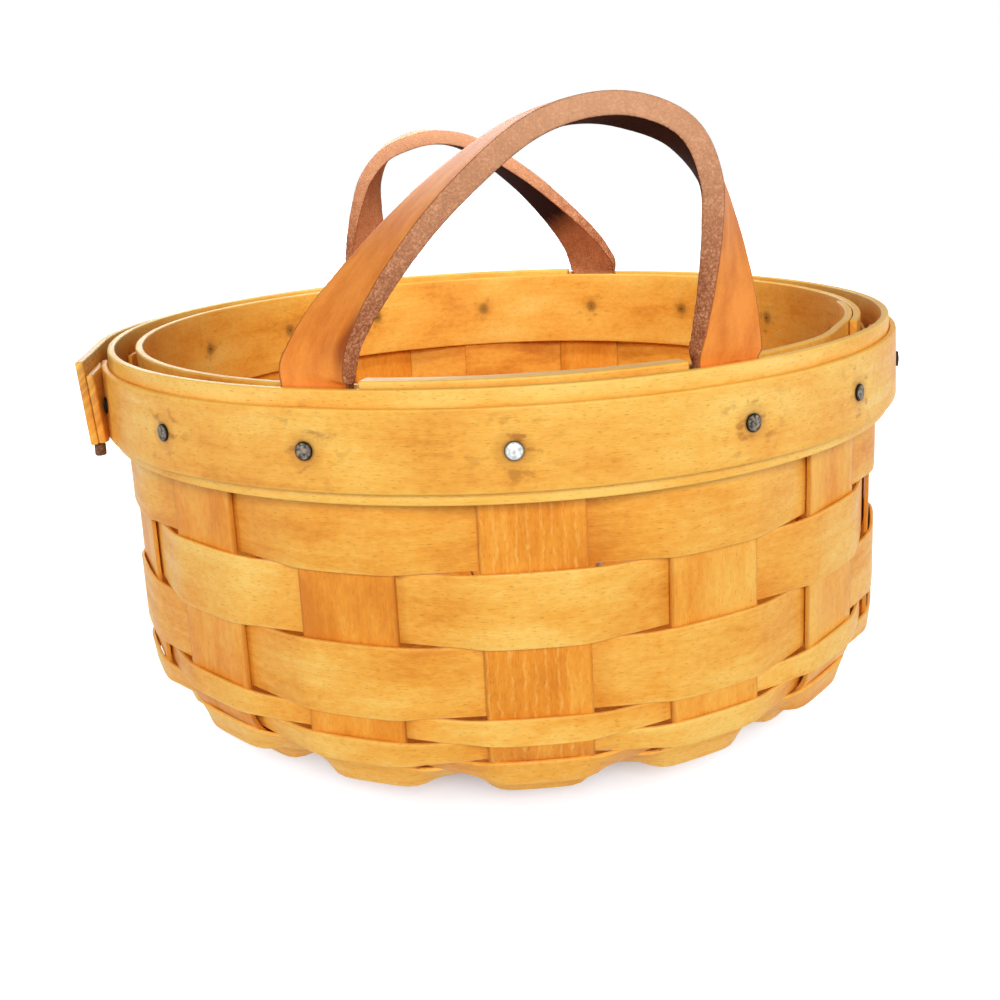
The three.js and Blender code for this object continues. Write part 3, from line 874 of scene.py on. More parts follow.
@dataclass
class Weavers:
    """Four wide and five narrow strips woven round the stakes, each alternating with the row above."""

    profile: WallProfile
    finish: MapleFinish
    stakes: int = STAKES
    stake_width: float = STAKE_WIDTH
    stake_thick: float = STAKE_THICK
    thick: float = 1.0 * MM
    round_off: float = 0.3 * MM
    gap: float = 0.18 * MM
    turn_slack: float = 0.05 * MM
    first_row: float = 9.2 * MM
    row_gap: float = 0.4 * MM
    wide_row: float = 18.5 * MM
    narrow_row: float = 6.2 * MM
    wide_rows: int = 4
    narrow_rows: int = 5
    cells_per_stake: int = 18
    wide_cells: int = 6
    narrow_cells: int = 4
    section_places: int = 9
    roll_share: float = 0.65
    max_roll_deg: float = 10.0
    overlap: float = 0.45 * MM
    crown: float = 0.35 * MM
    narrow_crown: float = 0.1 * MM
    swell_mm: tuple[float, float] = (-0.10, 0.25)
    narrow_swell: float = 0.4
    hug: float = 0.85
    soften: float = 0.6
    narrow_soften: float = 0.45
    bow: float = 0.6
    over_from: float = 0.4
    grain_from: float = 7.3
    grain_step: float = 1.19
    lap_deg: float = 9.0
    lap_ease_deg: float = 4.0
    lap_gap: float = 0.05 * MM
    tone: float = 0.12
    # Share of painted highlight at the middle of each crossing over a stake.
    bulge_highlight_tone: float = 0.24

    def build(self) -> list[bpy.types.Object]:
        """Make every row from the rim down.

        Returns:
            The rows.
        """
        material = self.finish.build()
        start = self.first_row
        pieces = []
        for row in range(self.wide_rows + self.narrow_rows):
            width = self.wide_row if row < self.wide_rows else self.narrow_row
            pieces.append(self.weaver(row, start, width, material))
            start += width + self.row_gap
        return pieces

    def section(self, start: float, width: float, narrow: bool) -> RowSection:
        """Work out the cross-section of a row.

        Args:
            start: Length down the wall at the row's upper edge.
            width: The row's width.
            narrow: Whether it is one of the narrow rows, which stand up from the slope of the stakes.

        Returns:
            The section, more upright where the row passes over a stake.
        """
        radius, height = self.profile.at(start + width * np.linspace(0, 1, self.section_places))[:2]
        middle = self.section_places // 2
        slope = math.atan2(radius[0] - radius[-1], height[0] - height[-1])
        roll = self.roll_share * slope if narrow else 0.0
        tilt, tilt_over = slope - min(roll, math.radians(self.max_roll_deg)), slope - roll
        clear = self.stake_thick / 2 + self.gap + (self.turn_slack if narrow else 0.0) + self.thick / 2

        def depths(lean: float) -> np.ndarray:
            """Depths of the stake's middle along the normal of a row that leans so."""
            return (radius - radius[middle]) * math.cos(lean) - (height - height[middle]) * math.sin(lean)

        deepest = depths(tilt).max()
        hollow = (0.0 if narrow else self.hug) * (deepest - depths(tilt))
        return RowSection(
            radius=float(radius[middle]), height=float(height[middle]), tilt=tilt, tilt_over=tilt_over,
            outside=clear + deepest, outside_over=clear + depths(tilt_over).max(),
            inside=clear - depths(tilt).min(), hollow=tuple(hollow),
        )

    def weaver(self, row: int, start: float, width: float, material: bpy.types.Material) -> bpy.types.Object:
        """Weave one row round the stakes.

        Args:
            row: Row number from the rim.
            start: Length down the wall at the row's upper edge.
            width: The row's width.
            material: Its finish.

        Returns:
            The piece that stands for the CAD weaver.
        """
        pitch = 360 / self.stakes
        parity = row % 2
        narrow = row >= self.wide_rows
        cut = self.section(start, width, narrow)
        edge = math.degrees(math.atan(self.stake_width / 2 / cut.radius)) / pitch
        seam_stake = 8 + (1 - parity) if row % 4 < 2 else 6 + (1 - parity)
        first = seam_stake * pitch - self.lap_deg / 2
        turn = 360 + self.lap_deg
        length = math.radians(turn) * cut.radius
        cells_wide = self.narrow_cells if narrow else self.wide_cells
        strip = Strip(
            f"maple_weaver_{row + 1}", length, width, self.thick,
            self.cells_per_stake * self.stakes, cells_wide, self.round_off,
        )
        strip.make_flat()
        strip.lay_grain(self.grain_from + self.grain_step * row)
        rng = np.random.default_rng(90 + row)
        swell = rng.uniform(*self.swell_mm, self.stakes) * MM * (self.narrow_swell if narrow else 1.0)
        crown = self.narrow_crown if narrow else self.crown
        early = (self.narrow_soften if narrow else self.soften) * edge

        def crossing(along: np.ndarray) -> tuple[np.ndarray, np.ndarray, np.ndarray, np.ndarray]:
            """Find where places along the row are among the stakes.

            Args:
                along: Flat places along the row.

            Returns:
                Azimuth, nearest stake, place beside it in pitches, and side from -1 inside to 1 outside.
            """
            azimuth = first + (along / length + 0.5) * turn
            stake = np.floor(azimuth / pitch + 0.5)
            beside = azimuth / pitch - stake
            number = stake.astype(int) % self.stakes
            leave = smoothstep((np.abs(beside) - early) / (1 - 2 * early))
            side = np.where(number % 2 == parity, 1.0, -1.0) * (1 - 2 * leave)
            return azimuth, number, beside, side

        def shape(along: np.ndarray, across: np.ndarray, through: np.ndarray) -> np.ndarray:
            """Weave the strip, flat over each stake and a little wider there, lapped at its end.

            Args:
                along: Flat places along the row.
                across: Flat places across the width.
                through: Flat places through the thickness.

            Returns:
                Points on the basket.
            """
            azimuth, number, beside, side = crossing(along)
            outside = (side + 1) / 2
            over = smoothstep((side - self.over_from) / (1 - self.over_from))
            tilt = cut.tilt + (cut.tilt_over - cut.tilt) * over
            lifted = (cut.outside_over - cut.outside) * over
            stand = -cut.inside + (cut.outside + cut.inside) * outside + lifted
            bulge = (crown + swell[number]) * np.cos(np.clip(beside / (1 - edge), -1, 1) * math.pi / 2) ** 2
            sunk = np.interp(0.5 - across / width, np.linspace(0, 1, len(cut.hollow)), cut.hollow)
            last = turn - self.lap_deg - self.lap_ease_deg
            lapped = smoothstep(((along / length + 0.5) * turn - last) / self.lap_ease_deg)
            total = stand + bulge * over - lapped * (self.thick + self.lap_gap) - sunk * outside + through
            local = np.radians(np.minimum(np.abs(beside), edge) * pitch)
            bow = self.bow * (cut.radius + cut.outside) * (1 / np.cos(local) - 1) * outside
            spread = across * (1 + over * self.overlap * 2 / width)
            radius = cut.radius + total * np.cos(tilt) + spread * np.sin(tilt) + bow
            return around(radius, azimuth, cut.height - total * np.sin(tilt) + spread * np.cos(tilt))

        beside, side = crossing(strip.flat[:, 0])[2:]
        # Painted highlight: the tone is paler at the middle of each crossing over a stake, where the bulging
        # strip catches the light.
        worn = (side + 1) / 2 * np.cos(np.clip(beside * 1.1, -1, 1) * math.pi / 2)
        wander = slow_wave(strip.flat[:, 0], 0.62, 300 + row, 0.14) + rng.uniform(-0.05, 0.05)
        strip.set_attribute("tone", wander + self.tone - self.bulge_highlight_tone * worn)
        return dress(strip.bend(shape), material, f"weaver_{row + 1}")


def steady(value: float) -> OverRim:
    """The same value all round the rim."""
    return lambda azimuth: value + 0 * azimuth


@dataclass(frozen=True)
class BandCut:
    """Where a band lies: its ends in degrees, and its radii and edges over the azimuth.

    The number moves its figure on and seeds its wander. A band inside the rim shows fainter stains and no
    painted shade at its end.
    """

    node: str
    number: int
    inner: OverRim
    outer: OverRim
    start: float
    end: float
    bottom: OverRim
    top: float
    inside: bool = False


@dataclass
class RimBands:
    """The bands round the rim: a wide and a narrow one outside, with a sprung free end, and one inside."""

    finish: MapleFinish
    rim_radius: float = RIM_RADIUS
    rim_height: float = RIM_HEIGHT
    clear: float = 0.3 * MM
    pressed: float = 0.12 * MM
    wide_thick: float = 2.2 * MM
    wide_depth: float = 28 * MM
    narrow_thick: float = 2.0 * MM
    narrow_top: float = 4.3 * MM
    narrow_depth: float = 20.5 * MM
    lap_start: float = -149.0
    lap_rise: tuple[float, float] = (190.0, 18.0)
    free_end: float = 295.0
    spring_start: float = 245.0
    spring_rise: float = 1.8 * MM
    leave: float = 277.6
    worn_corner: float = 8.0
    narrow_start: float = -77.0
    narrow_end: float = 279.0
    splice_start: float = 285.0
    inner_radius: float = 118.78 * MM
    inner_thick: float = 2.2 * MM
    inner_depth: float = 30 * MM
    inner_drop: float = 0.5 * MM
    inner_start: float = 61.0
    inner_end: float = 442.0
    inner_lap: tuple[float, float] = (404.0, 14.0)
    filler_half: float = 18.6
    filler_gaps: tuple[float, float] = (0.4 * MM, 0.44 * MM)
    tack_drop: float = 14.55 * MM
    pitch: float = 22.5
    leg_shift: float = 1.5
    nailed_aside: tuple[tuple[int, float], ...] = ((0, -1.8), (1, 1.3), (14, -1.1), (15, -0.4))
    inside_stain: float = 0.55
    # Share of painted shade on the sprung end.
    age: float = 0.5
    # Painted highlight on the wide band's strips that show above and below the narrow band.
    ledge_highlight: float = 0.22
    end_lean: float = 0.09
    lean_ease_deg: float = 10.0
    seam_deg: float = 4.0
    seam_margin_deg: float = 2.0
    grain_from: float = 21.0
    grain_step: float = 3.1
    wander: float = 0.2 * MM
    cell: float = 2.6 * MM
    cells_wide: int = 10
    round_off: float = 0.55 * MM

    @property
    def wide_bottom(self) -> float:
        """Height of the wide band's lower edge."""
        return self.rim_height - self.wide_depth

    @property
    def narrow_levels(self) -> tuple[float, float]:
        """Heights of the narrow band's edges."""
        top = self.rim_height - self.narrow_top
        return top - self.narrow_depth, top

    def build(self) -> list[bpy.types.Object]:
        """Make the three bands, the strip inside the sprung end and the fillers between the handle legs.

        Returns:
            The six pieces.
        """
        material = self.finish.build()
        bottom, top = self.narrow_levels
        inner_top = self.rim_height - self.inner_drop
        cuts = [
            BandCut(
                "rim_band_wide", 1, self.wide_inner, self.wide_outer, self.lap_start, self.free_end,
                self.worn_bottom, self.rim_height,
            ),
            BandCut(
                "rim_band_narrow", 2, self.narrow_inner, self.narrow_outer, self.narrow_start,
                self.narrow_end, steady(bottom), top,
            ),
            BandCut(
                "rim_band_inner", 3, self.inner_inner, self.inner_outer, self.inner_start, self.inner_end,
                steady(inner_top - self.inner_depth), inner_top, inside=True,
            ),
            BandCut(
                "splice_strip", 6, self.splice_inner, self.splice_outer, self.splice_start, self.free_end,
                steady(bottom), top,
            ),
            self.filler_cut("rim_filler_front", 4, 0.0),
            self.filler_cut("rim_filler_back", 5, 180.0),
        ]
        return [self.band(cut, material) for cut in cuts]

    def filler_cut(self, node: str, number: int, middle_deg: float) -> BandCut:
        """Cut a strip that fills the space between the bands beside the handle legs.

        Args:
            node: The CAD node that it stands for.
            number: Moves its figure on.
            middle_deg: Azimuth of its middle.

        Returns:
            Where the strip lies.
        """
        low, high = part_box(node)
        inner = self.inner_radius + self.filler_gaps[0]
        outer = self.rim_radius - self.wide_thick - self.filler_gaps[1]
        return BandCut(
            node, number, steady(inner), steady(outer), middle_deg - self.filler_half,
            middle_deg + self.filler_half, steady(low[2]), high[2], inside=True,
        )

    def wide_inner(self, azimuth: np.ndarray) -> np.ndarray:
        """Lay the wide band's inside: it laps over its start, bulges and runs straight off the rim.

        Args:
            azimuth: Azimuths in degrees.

        Returns:
            Its inner radius at each.
        """
        lap = (self.wide_thick + self.clear) * smoothstep((azimuth - self.lap_rise[0]) / self.lap_rise[1])
        sprung = (azimuth - self.spring_start) / (self.leave - self.spring_start)
        bulge = self.spring_rise * smoothstep(sprung)
        past = np.radians(np.clip(azimuth - self.leave, 0, None))
        return (self.rim_radius - self.wide_thick + lap + bulge) / np.cos(past)

    def wide_outer(self, azimuth: np.ndarray) -> np.ndarray:
        """Outer radius of the wide band."""
        return self.wide_inner(azimuth) + self.wide_thick

    def worn_bottom(self, azimuth: np.ndarray) -> np.ndarray:
        """Lower edge of the wide band, whose corner is worn away at the free end."""
        worn = smoothstep((azimuth - self.free_end + self.worn_corner) / self.worn_corner)
        return self.wide_bottom + (self.narrow_levels[0] - self.wide_bottom) * worn

    def narrow_inner(self, azimuth: np.ndarray) -> np.ndarray:
        """Inner radius of the narrow band, pressed on the wide one."""
        return self.wide_outer(azimuth) + self.pressed

    def narrow_outer(self, azimuth: np.ndarray) -> np.ndarray:
        """Outer radius of the narrow band."""
        return self.narrow_inner(azimuth) + self.narrow_thick

    def splice_outer(self, azimuth: np.ndarray) -> np.ndarray:
        """Outer radius of the strip inside the sprung end."""
        return self.wide_inner(azimuth) - self.pressed

    def splice_inner(self, azimuth: np.ndarray) -> np.ndarray:
        """Inner radius of that strip, shaved thin where it meets the rim."""
        rim = self.narrow_outer(np.array([self.narrow_start]))[0] + self.clear
        return np.maximum(rim, self.splice_outer(azimuth) - self.narrow_thick)

    def inner_inner(self, azimuth: np.ndarray) -> np.ndarray:
        """Inner radius of the inner band, whose end laps inwards over its start."""
        lap = (self.inner_thick + self.clear) * smoothstep((azimuth - self.inner_lap[0]) / self.inner_lap[1])
        return self.inner_radius - self.inner_thick - lap

    def inner_outer(self, azimuth: np.ndarray) -> np.ndarray:
        """Outer radius of the inner band."""
        return self.inner_inner(azimuth) + self.inner_thick

    def tack_shifts(self) -> np.ndarray:
        """Work out how far each tack stands beside its stake.

        Returns:
            Degrees for each stake: moved to the handle legs, and as it was nailed.
        """
        number = np.arange(round(360 / self.pitch))
        half = len(number) // 2
        from_handle = np.mod(number, half)
        shifts = self.leg_shift * ((from_handle == 1).astype(float) - (from_handle == half - 1))
        for stake, aside in self.nailed_aside:
            shifts[stake] += aside
        return shifts

    def tack_map(self, azimuth: np.ndarray, height: np.ndarray) -> dict[str, np.ndarray]:
        """Say where each point lies among the tacks, and how much painted shade it gets at the free end.

        Args:
            azimuth: Azimuths in degrees.
            height: Heights.

        Returns:
            Turns counted in tacks, millimetres above the tacks, whether tacks pass there, and the painted
            shade near the free end.
        """
        shifts = self.tack_shifts()
        shift = shifts[np.round(azimuth / self.pitch).astype(int) % len(shifts)]
        # Painted shade on the sprung end: strongest high on the band, past the splice and where the narrow
        # band starts.
        high = smoothstep((height - self.narrow_levels[0]) / self.narrow_depth * 1.3 - 0.1)
        past_start = (azimuth - self.narrow_start) / self.seam_deg
        past_splice = (azimuth - self.splice_start + self.seam_margin_deg) / self.seam_deg
        seam = smoothstep(past_splice) + np.exp(-(past_start**2))
        on_strip = azimuth < self.free_end + 1
        return {
            "turn": (azimuth - shift) / self.pitch,
            "level": (height - self.rim_height + self.tack_drop) / MM,
            "stain": np.where((azimuth > self.narrow_end + self.seam_margin_deg) & on_strip, 0.0, 1.0),
            "end_shade": self.age * high * np.clip(seam, 0, 1) * on_strip,
        }

    def band(self, cut: BandCut, material: bpy.types.Material) -> bpy.types.Object:
        """Bend one flat band round the rim.

        Args:
            cut: Where it lies.
            material: Its finish.

        Returns:
            The bent band.
        """
        middle = np.array([(cut.start + cut.end) / 2])
        width = cut.top - float(cut.bottom(middle)[0])
        thick = float((cut.outer(middle) - cut.inner(middle))[0])
        turn = cut.end - cut.start
        length = math.radians(turn) * self.rim_radius
        cells = max(12, int(length / self.cell))
        round_off = min(self.round_off, thick / 3)
        strip = Strip(f"maple_{cut.node}", length, width, thick, cells, self.cells_wide, round_off)
        strip.make_flat()
        strip.lay_grain(self.grain_from + self.grain_step * cut.number)

        def places(along: np.ndarray, across: np.ndarray) -> tuple[np.ndarray, np.ndarray]:
            """Find where flat places come to lie round the rim, on a band whose edges wander a little.

            Args:
                along: Flat places along the band.
                across: Flat places across it.

            Returns:
                Azimuths in degrees and heights.
            """
            azimuth = cut.start + (along / length + 0.5) * turn
            bottom = cut.bottom(azimuth)
            height = bottom + (across / width + 0.5) * (cut.top - bottom)
            return azimuth, height + slow_wave(azimuth, 150.0, 500 + cut.number, self.wander)

        def shape(along: np.ndarray, across: np.ndarray, through: np.ndarray) -> np.ndarray:
            """Bend the band, whose sprung end leans in towards its foot.

            Args:
                along: Flat places along the band.
                across: Flat places across it.
                through: Flat places through the thickness.

            Returns:
                Points on the basket.
            """
            azimuth, height = places(along, across)
            inner, outer = cut.inner(azimuth), cut.outer(azimuth)
            sprung = smoothstep((azimuth - self.narrow_end) / self.lean_ease_deg)
            lean = self.end_lean * (self.rim_height - height) * sprung * (azimuth < self.free_end + 1)
            return around(inner + (through / thick + 0.5) * (outer - inner) - lean, azimuth, height)

        tone = slow_wave(strip.flat[:, 0], 0.45, 800 + cut.number, 0.10) - 0.05
        # Painted highlight: the wide band's strips showing above and below the narrow band are paler, for the
        # light falling on them from above.
        if cut.node == "rim_band_wide":
            tone -= self.ledge_highlight * (width / 2 - np.abs(strip.flat[:, 1]) < self.narrow_top)
        strip.set_attribute("tone", tone)
        marks = self.tack_map(*places(strip.flat[:, 0], strip.flat[:, 1]))
        if cut.inside:
            marks["stain"] = np.full_like(marks["stain"], self.inside_stain)
            marks["end_shade"] = 0 * marks["end_shade"]
        for name, values in marks.items():
            strip.set_attribute(name, values)
        return dress(strip.bend(shape), material, cut.node)


@dataclass
class Tacks:
    """Sixteen domed tacks, modelled once and copied to each stake; the front middle one takes a brighter
    steel, a painted glint.
    """

    bands: RimBands
    finish: TackSteel
    glint_finish: TackSteel
    stakes: int = STAKES
    head_radius: float = 2.35 * MM
    head_rise: float = 0.85 * MM
    head_corners: int = 32
    dimple: float = 0.16 * MM
    shank_radii: tuple[float, float] = (1.0 * MM, 0.25 * MM)
    shank_length: float = 16 * MM
    shank_from: float = 0.1 * MM
    sunk: float = 0.2 * MM
    tip_out: float = 0.4 * MM

    def build(self) -> list[bpy.types.Object]:
        """Make the tacks.

        Returns:
            One for each stake.
        """
        material = self.finish.build()
        bright = self.glint_finish.build()
        pattern = self.pattern()
        pieces = []
        for number in range(self.stakes):
            pieces.append(self.placed(pattern, number, material if number else bright))
        bpy.data.objects.remove(pattern)
        return pieces

    def pattern(self) -> bpy.types.Object:
        """Model one tack lying along -Y, its head's underside at the origin.

        Returns:
            The tack, whose rim number runs from 0 at the middle of its head to 1 at its rim.
        """
        bpy.ops.object.select_all(action="DESELECT")
        bpy.ops.mesh.primitive_cylinder_add(
            vertices=self.head_corners, radius=self.head_radius, depth=self.head_rise,
            location=(0, -self.head_rise / 2, 0), rotation=(math.radians(90), 0, 0),
        )
        head = bpy.context.object
        bpy.ops.object.transform_apply(location=True, rotation=True, scale=True)
        bpy.ops.object.mode_set(mode="EDIT")
        bpy.ops.mesh.select_all(action="DESELECT")
        bpy.ops.object.mode_set(mode="OBJECT")
        for face in head.data.polygons:
            face.select = face.normal.y < -0.9
        bpy.ops.object.mode_set(mode="EDIT")
        bpy.ops.mesh.inset(thickness=self.head_radius * 0.45, depth=0.0)
        bpy.ops.mesh.inset(thickness=self.head_radius * 0.30, depth=self.dimple)
        bpy.ops.object.mode_set(mode="OBJECT")
        round_edges(head, "dome", self.head_rise * 0.6, 4, 60)
        bpy.ops.mesh.primitive_cone_add(
            vertices=4, radius1=self.shank_radii[0], radius2=self.shank_radii[1], depth=self.shank_length,
            location=(0, self.shank_length / 2, 0), rotation=(math.radians(-90), 0, 0),
        )
        head.select_set(True)
        bpy.context.view_layer.objects.active = head
        bpy.ops.object.join()
        bpy.ops.object.shade_smooth_by_angle(angle=math.radians(35))
        rim = head.data.attributes.new("rim", "FLOAT", "POINT")
        places = [vertex.co for vertex in head.data.vertices]
        shares = [
            1.0 if co.y > self.shank_from else math.hypot(co.x, co.z) / self.head_radius for co in places
        ]
        rim.data.foreach_set("value", shares)
        return head

    def placed(
        self, pattern: bpy.types.Object, number: int, material: bpy.types.Material
    ) -> bpy.types.Object:
        """Drive a copy of the tack through the rim.

        Args:
            pattern: The tack that is copied.
            number: Which stake it is at.
            material: Its finish.

        Returns:
            The piece that stands for the CAD tack.
        """
        bands = self.bands
        azimuth = number * bands.pitch + bands.tack_shifts()[number]
        first_turn = azimuth - 360 if azimuth > 360 + bands.narrow_start else azimuth
        seat = float(bands.narrow_outer(np.array([first_turn]))[0]) - self.sunk
        last_turn = azimuth + 360 if azimuth < bands.inner_end - 360 else azimuth
        tip = float(bands.inner_inner(np.array([last_turn]))[0]) - self.tip_out
        mesh = pattern.data.copy()
        reach = (seat - tip) / self.shank_length
        for vertex in mesh.vertices:
            if vertex.co.y > self.shank_from:
                vertex.co.y *= reach
        angle = math.radians(azimuth)
        place = Vector((seat * math.sin(angle), -seat * math.cos(angle), bands.rim_height - bands.tack_drop))
        mesh.transform(Matrix.Translation(place) @ Matrix.Rotation(angle, 4, "Z"))
        piece = bpy.data.objects.new(f"steel_tack_{number + 1}", mesh)
        bpy.context.scene.collection.objects.link(piece)
        return dress(piece, material, f"tack_{number + 1}")


@dataclass
class Peg:
    """The small peg under the free end of the wide band."""

    finish: PegWood
    corners: int = 28
    worn: float = 0.5 * MM

    def build(self) -> bpy.types.Object:
        """Turn the peg in the box of its CAD node.

        Returns:
            The piece that stands for the CAD peg.
        """
        low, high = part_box("free_end_peg")
        centre = [(a + b) / 2 for a, b in zip(low, high)]
        bpy.ops.object.select_all(action="DESELECT")
        bpy.ops.mesh.primitive_cylinder_add(
            vertices=self.corners, radius=(high[0] - low[0]) / 2, depth=high[2] - low[2],
            location=tuple(centre),
        )
        piece = bpy.context.object
        piece.name = "peg_under_free_end"
        bpy.ops.object.transform_apply(location=True, rotation=True, scale=True)
        round_edges(piece, "worn_end", self.worn, 3, 30)
        bpy.ops.object.shade_smooth_by_angle(angle=math.radians(40))
        return dress(piece, self.finish.build(), "free_end_peg")


class HandleSide(Enum):
    """Which side of the basket a handle is on."""

    FRONT = "front"
    BACK = "back"


@dataclass
class HandleStrap:
    """One leather strap: two tucked ends, the bends above the rim and the leaning arch between them."""

    side: HandleSide
    material: bpy.types.Material
    rim_height: float = RIM_HEIGHT
    leg_radius: float = 122.6 * MM
    leg_angle: float = 24.0
    width: float = 19 * MM
    thick: float = 5.8 * MM
    round_off: float = 0.8 * MM
    cells_long: int = 300
    cells_wide: int = 14
    tuck_thick: float = 3.0 * MM
    tuck_depth: float = 19.5 * MM
    arch_height: float = 62.8 * MM
    swell_height: float = 4 * MM
    flex_from: float = 0.3 * MM
    flex_top: float = 12 * MM
    twist_rate: float = 0.41 / MM
    level_at: float = 90 * MM
    curl_length: float = 11 * MM
    turn_length: float = 75 * MM
    turn_ease: float = 0.3
    leg_thin: float = 0.78
    leg_broad: float = 0.10
    crown: float = 0.15 * MM
    settle: float = 0.1 * MM
    raw_edge: float = 0.10 * MM
    fray: float = 0.06 * MM
    fray_waves: tuple[tuple[float, float], ...] = ((0.31 * MM, 5.0), (0.47 * MM, -3.0), (1.3 * MM, 0.0))
    raw_from: float = 0.85
    crown_from: float = 3 * MM
    crown_rise: float = 4 * MM
    broad_rise: float = 3 * MM
    broad_to: float = 0.8
    # Where along the arch the painted shade on the flesh side starts, ends and eases in.
    arch_shade_from: float = 0.35
    arch_shade_to: float = 0.95
    arch_shade_ease: float = 0.2
    # Where the painted shade of the recess lies and how far it reaches.
    crease_shade_spot: tuple[Spot, Spot] = ((14.0, 0.86), (8.5, 0.20))
    lump: tuple[Spot, Spot] = ((11.0, 0.62), (3.4, 0.2))
    lump_height: float = 0.9 * MM
    pucker: tuple[Spot, Spot] = ((17.5, 0.80), (4.0, 0.17))
    pucker_share: float = 0.7

    @property
    def turned(self) -> bool:
        """Whether the strap is the back one, which is the front one turned half round."""
        return self.side is HandleSide.BACK

    @property
    def leg_depth(self) -> float:
        """How far in front of the basket's middle the legs stand."""
        return self.leg_radius * math.cos(math.radians(self.leg_angle))

    def route(self) -> np.ndarray:
        """Lay out the strap's middle line.

        Returns:
            Its points in metres, from shares of the leg spacing and of the arch height.
        """
        tuck = -self.tuck_depth / self.arch_height
        shares = [
            (-1, tuck), (-1, -0.13), (-1, 0.012), (-0.996, 0.045), (-0.967, 0.11), (-0.898, 0.22),
            (-0.642, 0.478), (-0.337, 0.717), (0.064, 0.941), (0.331, 0.998), (0.563, 0.984), (0.798, 0.898),
            (0.938, 0.726), (0.985, 0.54), (1.009, 0.293), (1.008, 0.11), (1.003, 0.045), (1, 0.012),
            (1, -0.13), (1, tuck),
        ]
        reach = self.leg_radius * math.sin(math.radians(self.leg_angle))
        return np.array([(u * reach, z * self.arch_height) for u, z in shares])

    def line(self) -> tuple[np.ndarray, np.ndarray, np.ndarray]:
        """Run a smooth curve through the route.

        Returns:
            Length, points and unit directions along it.
        """
        points = self.route()
        ends = np.vstack([2 * points[0] - points[1], points, 2 * points[-1] - points[-2]])
        steps = np.linspace(0, 1, 40, endpoint=False)
        curve = []
        for i in range(1, len(ends) - 2):
            a, b, c, d = ends[i - 1 : i + 3]
            gaps = np.sqrt(np.linalg.norm(np.diff(ends[i - 1 : i + 3], axis=0), axis=1))
            k0, k1, k2, k3 = np.concatenate([[0.0], np.cumsum(gaps)])
            t = (k1 + steps * (k2 - k1))[:, None]
            first = self.mix(t, k0, k1, a, b)
            second = self.mix(t, k1, k2, b, c)
            third = self.mix(t, k2, k3, c, d)
            low = self.mix(t, k0, k2, first, second)
            high = self.mix(t, k1, k3, second, third)
            curve.append(self.mix(t, k1, k2, low, high))
        smooth = np.vstack([*curve, points[-1:]])
        length = np.concatenate([[0.0], np.cumsum(np.linalg.norm(np.diff(smooth, axis=0), axis=1))])
        heading = np.gradient(smooth, length, axis=0)
        return length, smooth, heading / np.linalg.norm(heading, axis=1)[:, None]

    @staticmethod
    def mix(t: np.ndarray, low: float, high: float, first: np.ndarray, second: np.ndarray) -> np.ndarray:
        """Straight mix of two points between two knots."""
        return ((high - t) * first + (t - low) * second) / (high - low)

    def twist(self, along: np.ndarray, span: float) -> np.ndarray:
        """Angle of the strap about its route.

        Args:
            along: Lengths from where it leaves the rim at the left.
            span: Length from there to where it goes back in.

        Returns:
            The angle in radians: the strap lies on the rim at both ends and turns level over the arch.
        """
        at = np.clip(along, 0, span)
        base = 90 - self.leg_angle
        slow = self.twist_rate * (self.level_at - at)
        curl = (base - self.twist_rate * self.level_at) * np.exp(-at / self.curl_length)
        share = np.clip(1 - (span - at) / self.turn_length, 0, None)
        eased = np.where(share < self.turn_ease, share**2 / (2 * self.turn_ease), share - self.turn_ease / 2)
        back = base - self.twist_rate * (self.level_at - span)
        return np.radians(slow + curl + back * eased / (1 - self.turn_ease / 2))

    @staticmethod
    def bump(
        along_mm: np.ndarray, beside: np.ndarray, middle: tuple[float, float], size: tuple[float, float]
    ) -> np.ndarray:
        """Shape one soft bump on the strap.

        Args:
            along_mm: Millimetres above where the strap leaves the rim.
            beside: Places across, from -1 to 1.
            middle: Where the bump is, in the same two measures.
            size: How far it reaches each way.

        Returns:
            Its height at each place, 1 at its middle.
        """
        return np.exp(-(((along_mm - middle[0]) / size[0]) ** 2) - ((beside - middle[1]) / size[1]) ** 2)

    def mark(
        self, strip: Strip, length: np.ndarray, points: np.ndarray, left_exit: float, span: float
    ) -> None:
        """Store on the strap's points what its leather reads.

        Args:
            strip: The flat strap.
            length: Lengths along the route.
            points: Points of the route.
            left_exit: Length at which the strap leaves the rim.
            span: Length from there to where it goes back in.
        """
        along = strip.flat[:, 0] + float(length[-1]) / 2
        beside = strip.flat[:, 1] / (self.width / 2)
        out = along - left_exit
        share = 1 - out / span if self.turned else out / span
        rise = np.interp(along, length, points[:, 1])
        strip.set_attribute("depth", strip.flat[:, 2] / (self.thick / 2))
        strip.set_attribute("across", beside)
        # Painted shade on the flesh side along most of the arch.
        arch_shade_rise = smoothstep((share - self.arch_shade_from) / self.arch_shade_ease)
        strip.set_attribute("arch_shade", arch_shade_rise * smoothstep((self.arch_shade_to - share) / self.arch_shade_ease))
        # Height up the arch, which sets the painted highlight on the cut edge.
        strip.set_attribute("crest", np.clip(rise / self.arch_height, 0, 1))
        # Painted shade in the recess beside the pucker near the foot, on the grain side only.
        crease_shade = self.bump(out / MM, beside, *self.crease_shade_spot)
        strip.set_attribute("crease_shade", crease_shade * (strip.flat[:, 2] > 0))

    def build(self) -> bpy.types.Object:
        """Cut the strap flat and bend it along its route.

        Returns:
            The strap, bent along its route, with the CAD parts that it stands for hidden.
        """
        length, points, heading = self.line()
        total = float(length[-1])
        name = f"leather_{self.side.value}_handle"
        strip = Strip(name, total, self.width, self.thick, self.cells_long, self.cells_wide, self.round_off)
        strip.make_flat()
        strip.lay_grain(43.0 if self.turned else 40.0)
        above = points[:, 1] >= 0
        left_exit = float(length[np.argmax(above)])
        right_exit = float(length[len(above) - 1 - np.argmax(above[::-1])])
        span = right_exit - left_exit
        self.mark(strip, length, points, left_exit, span)

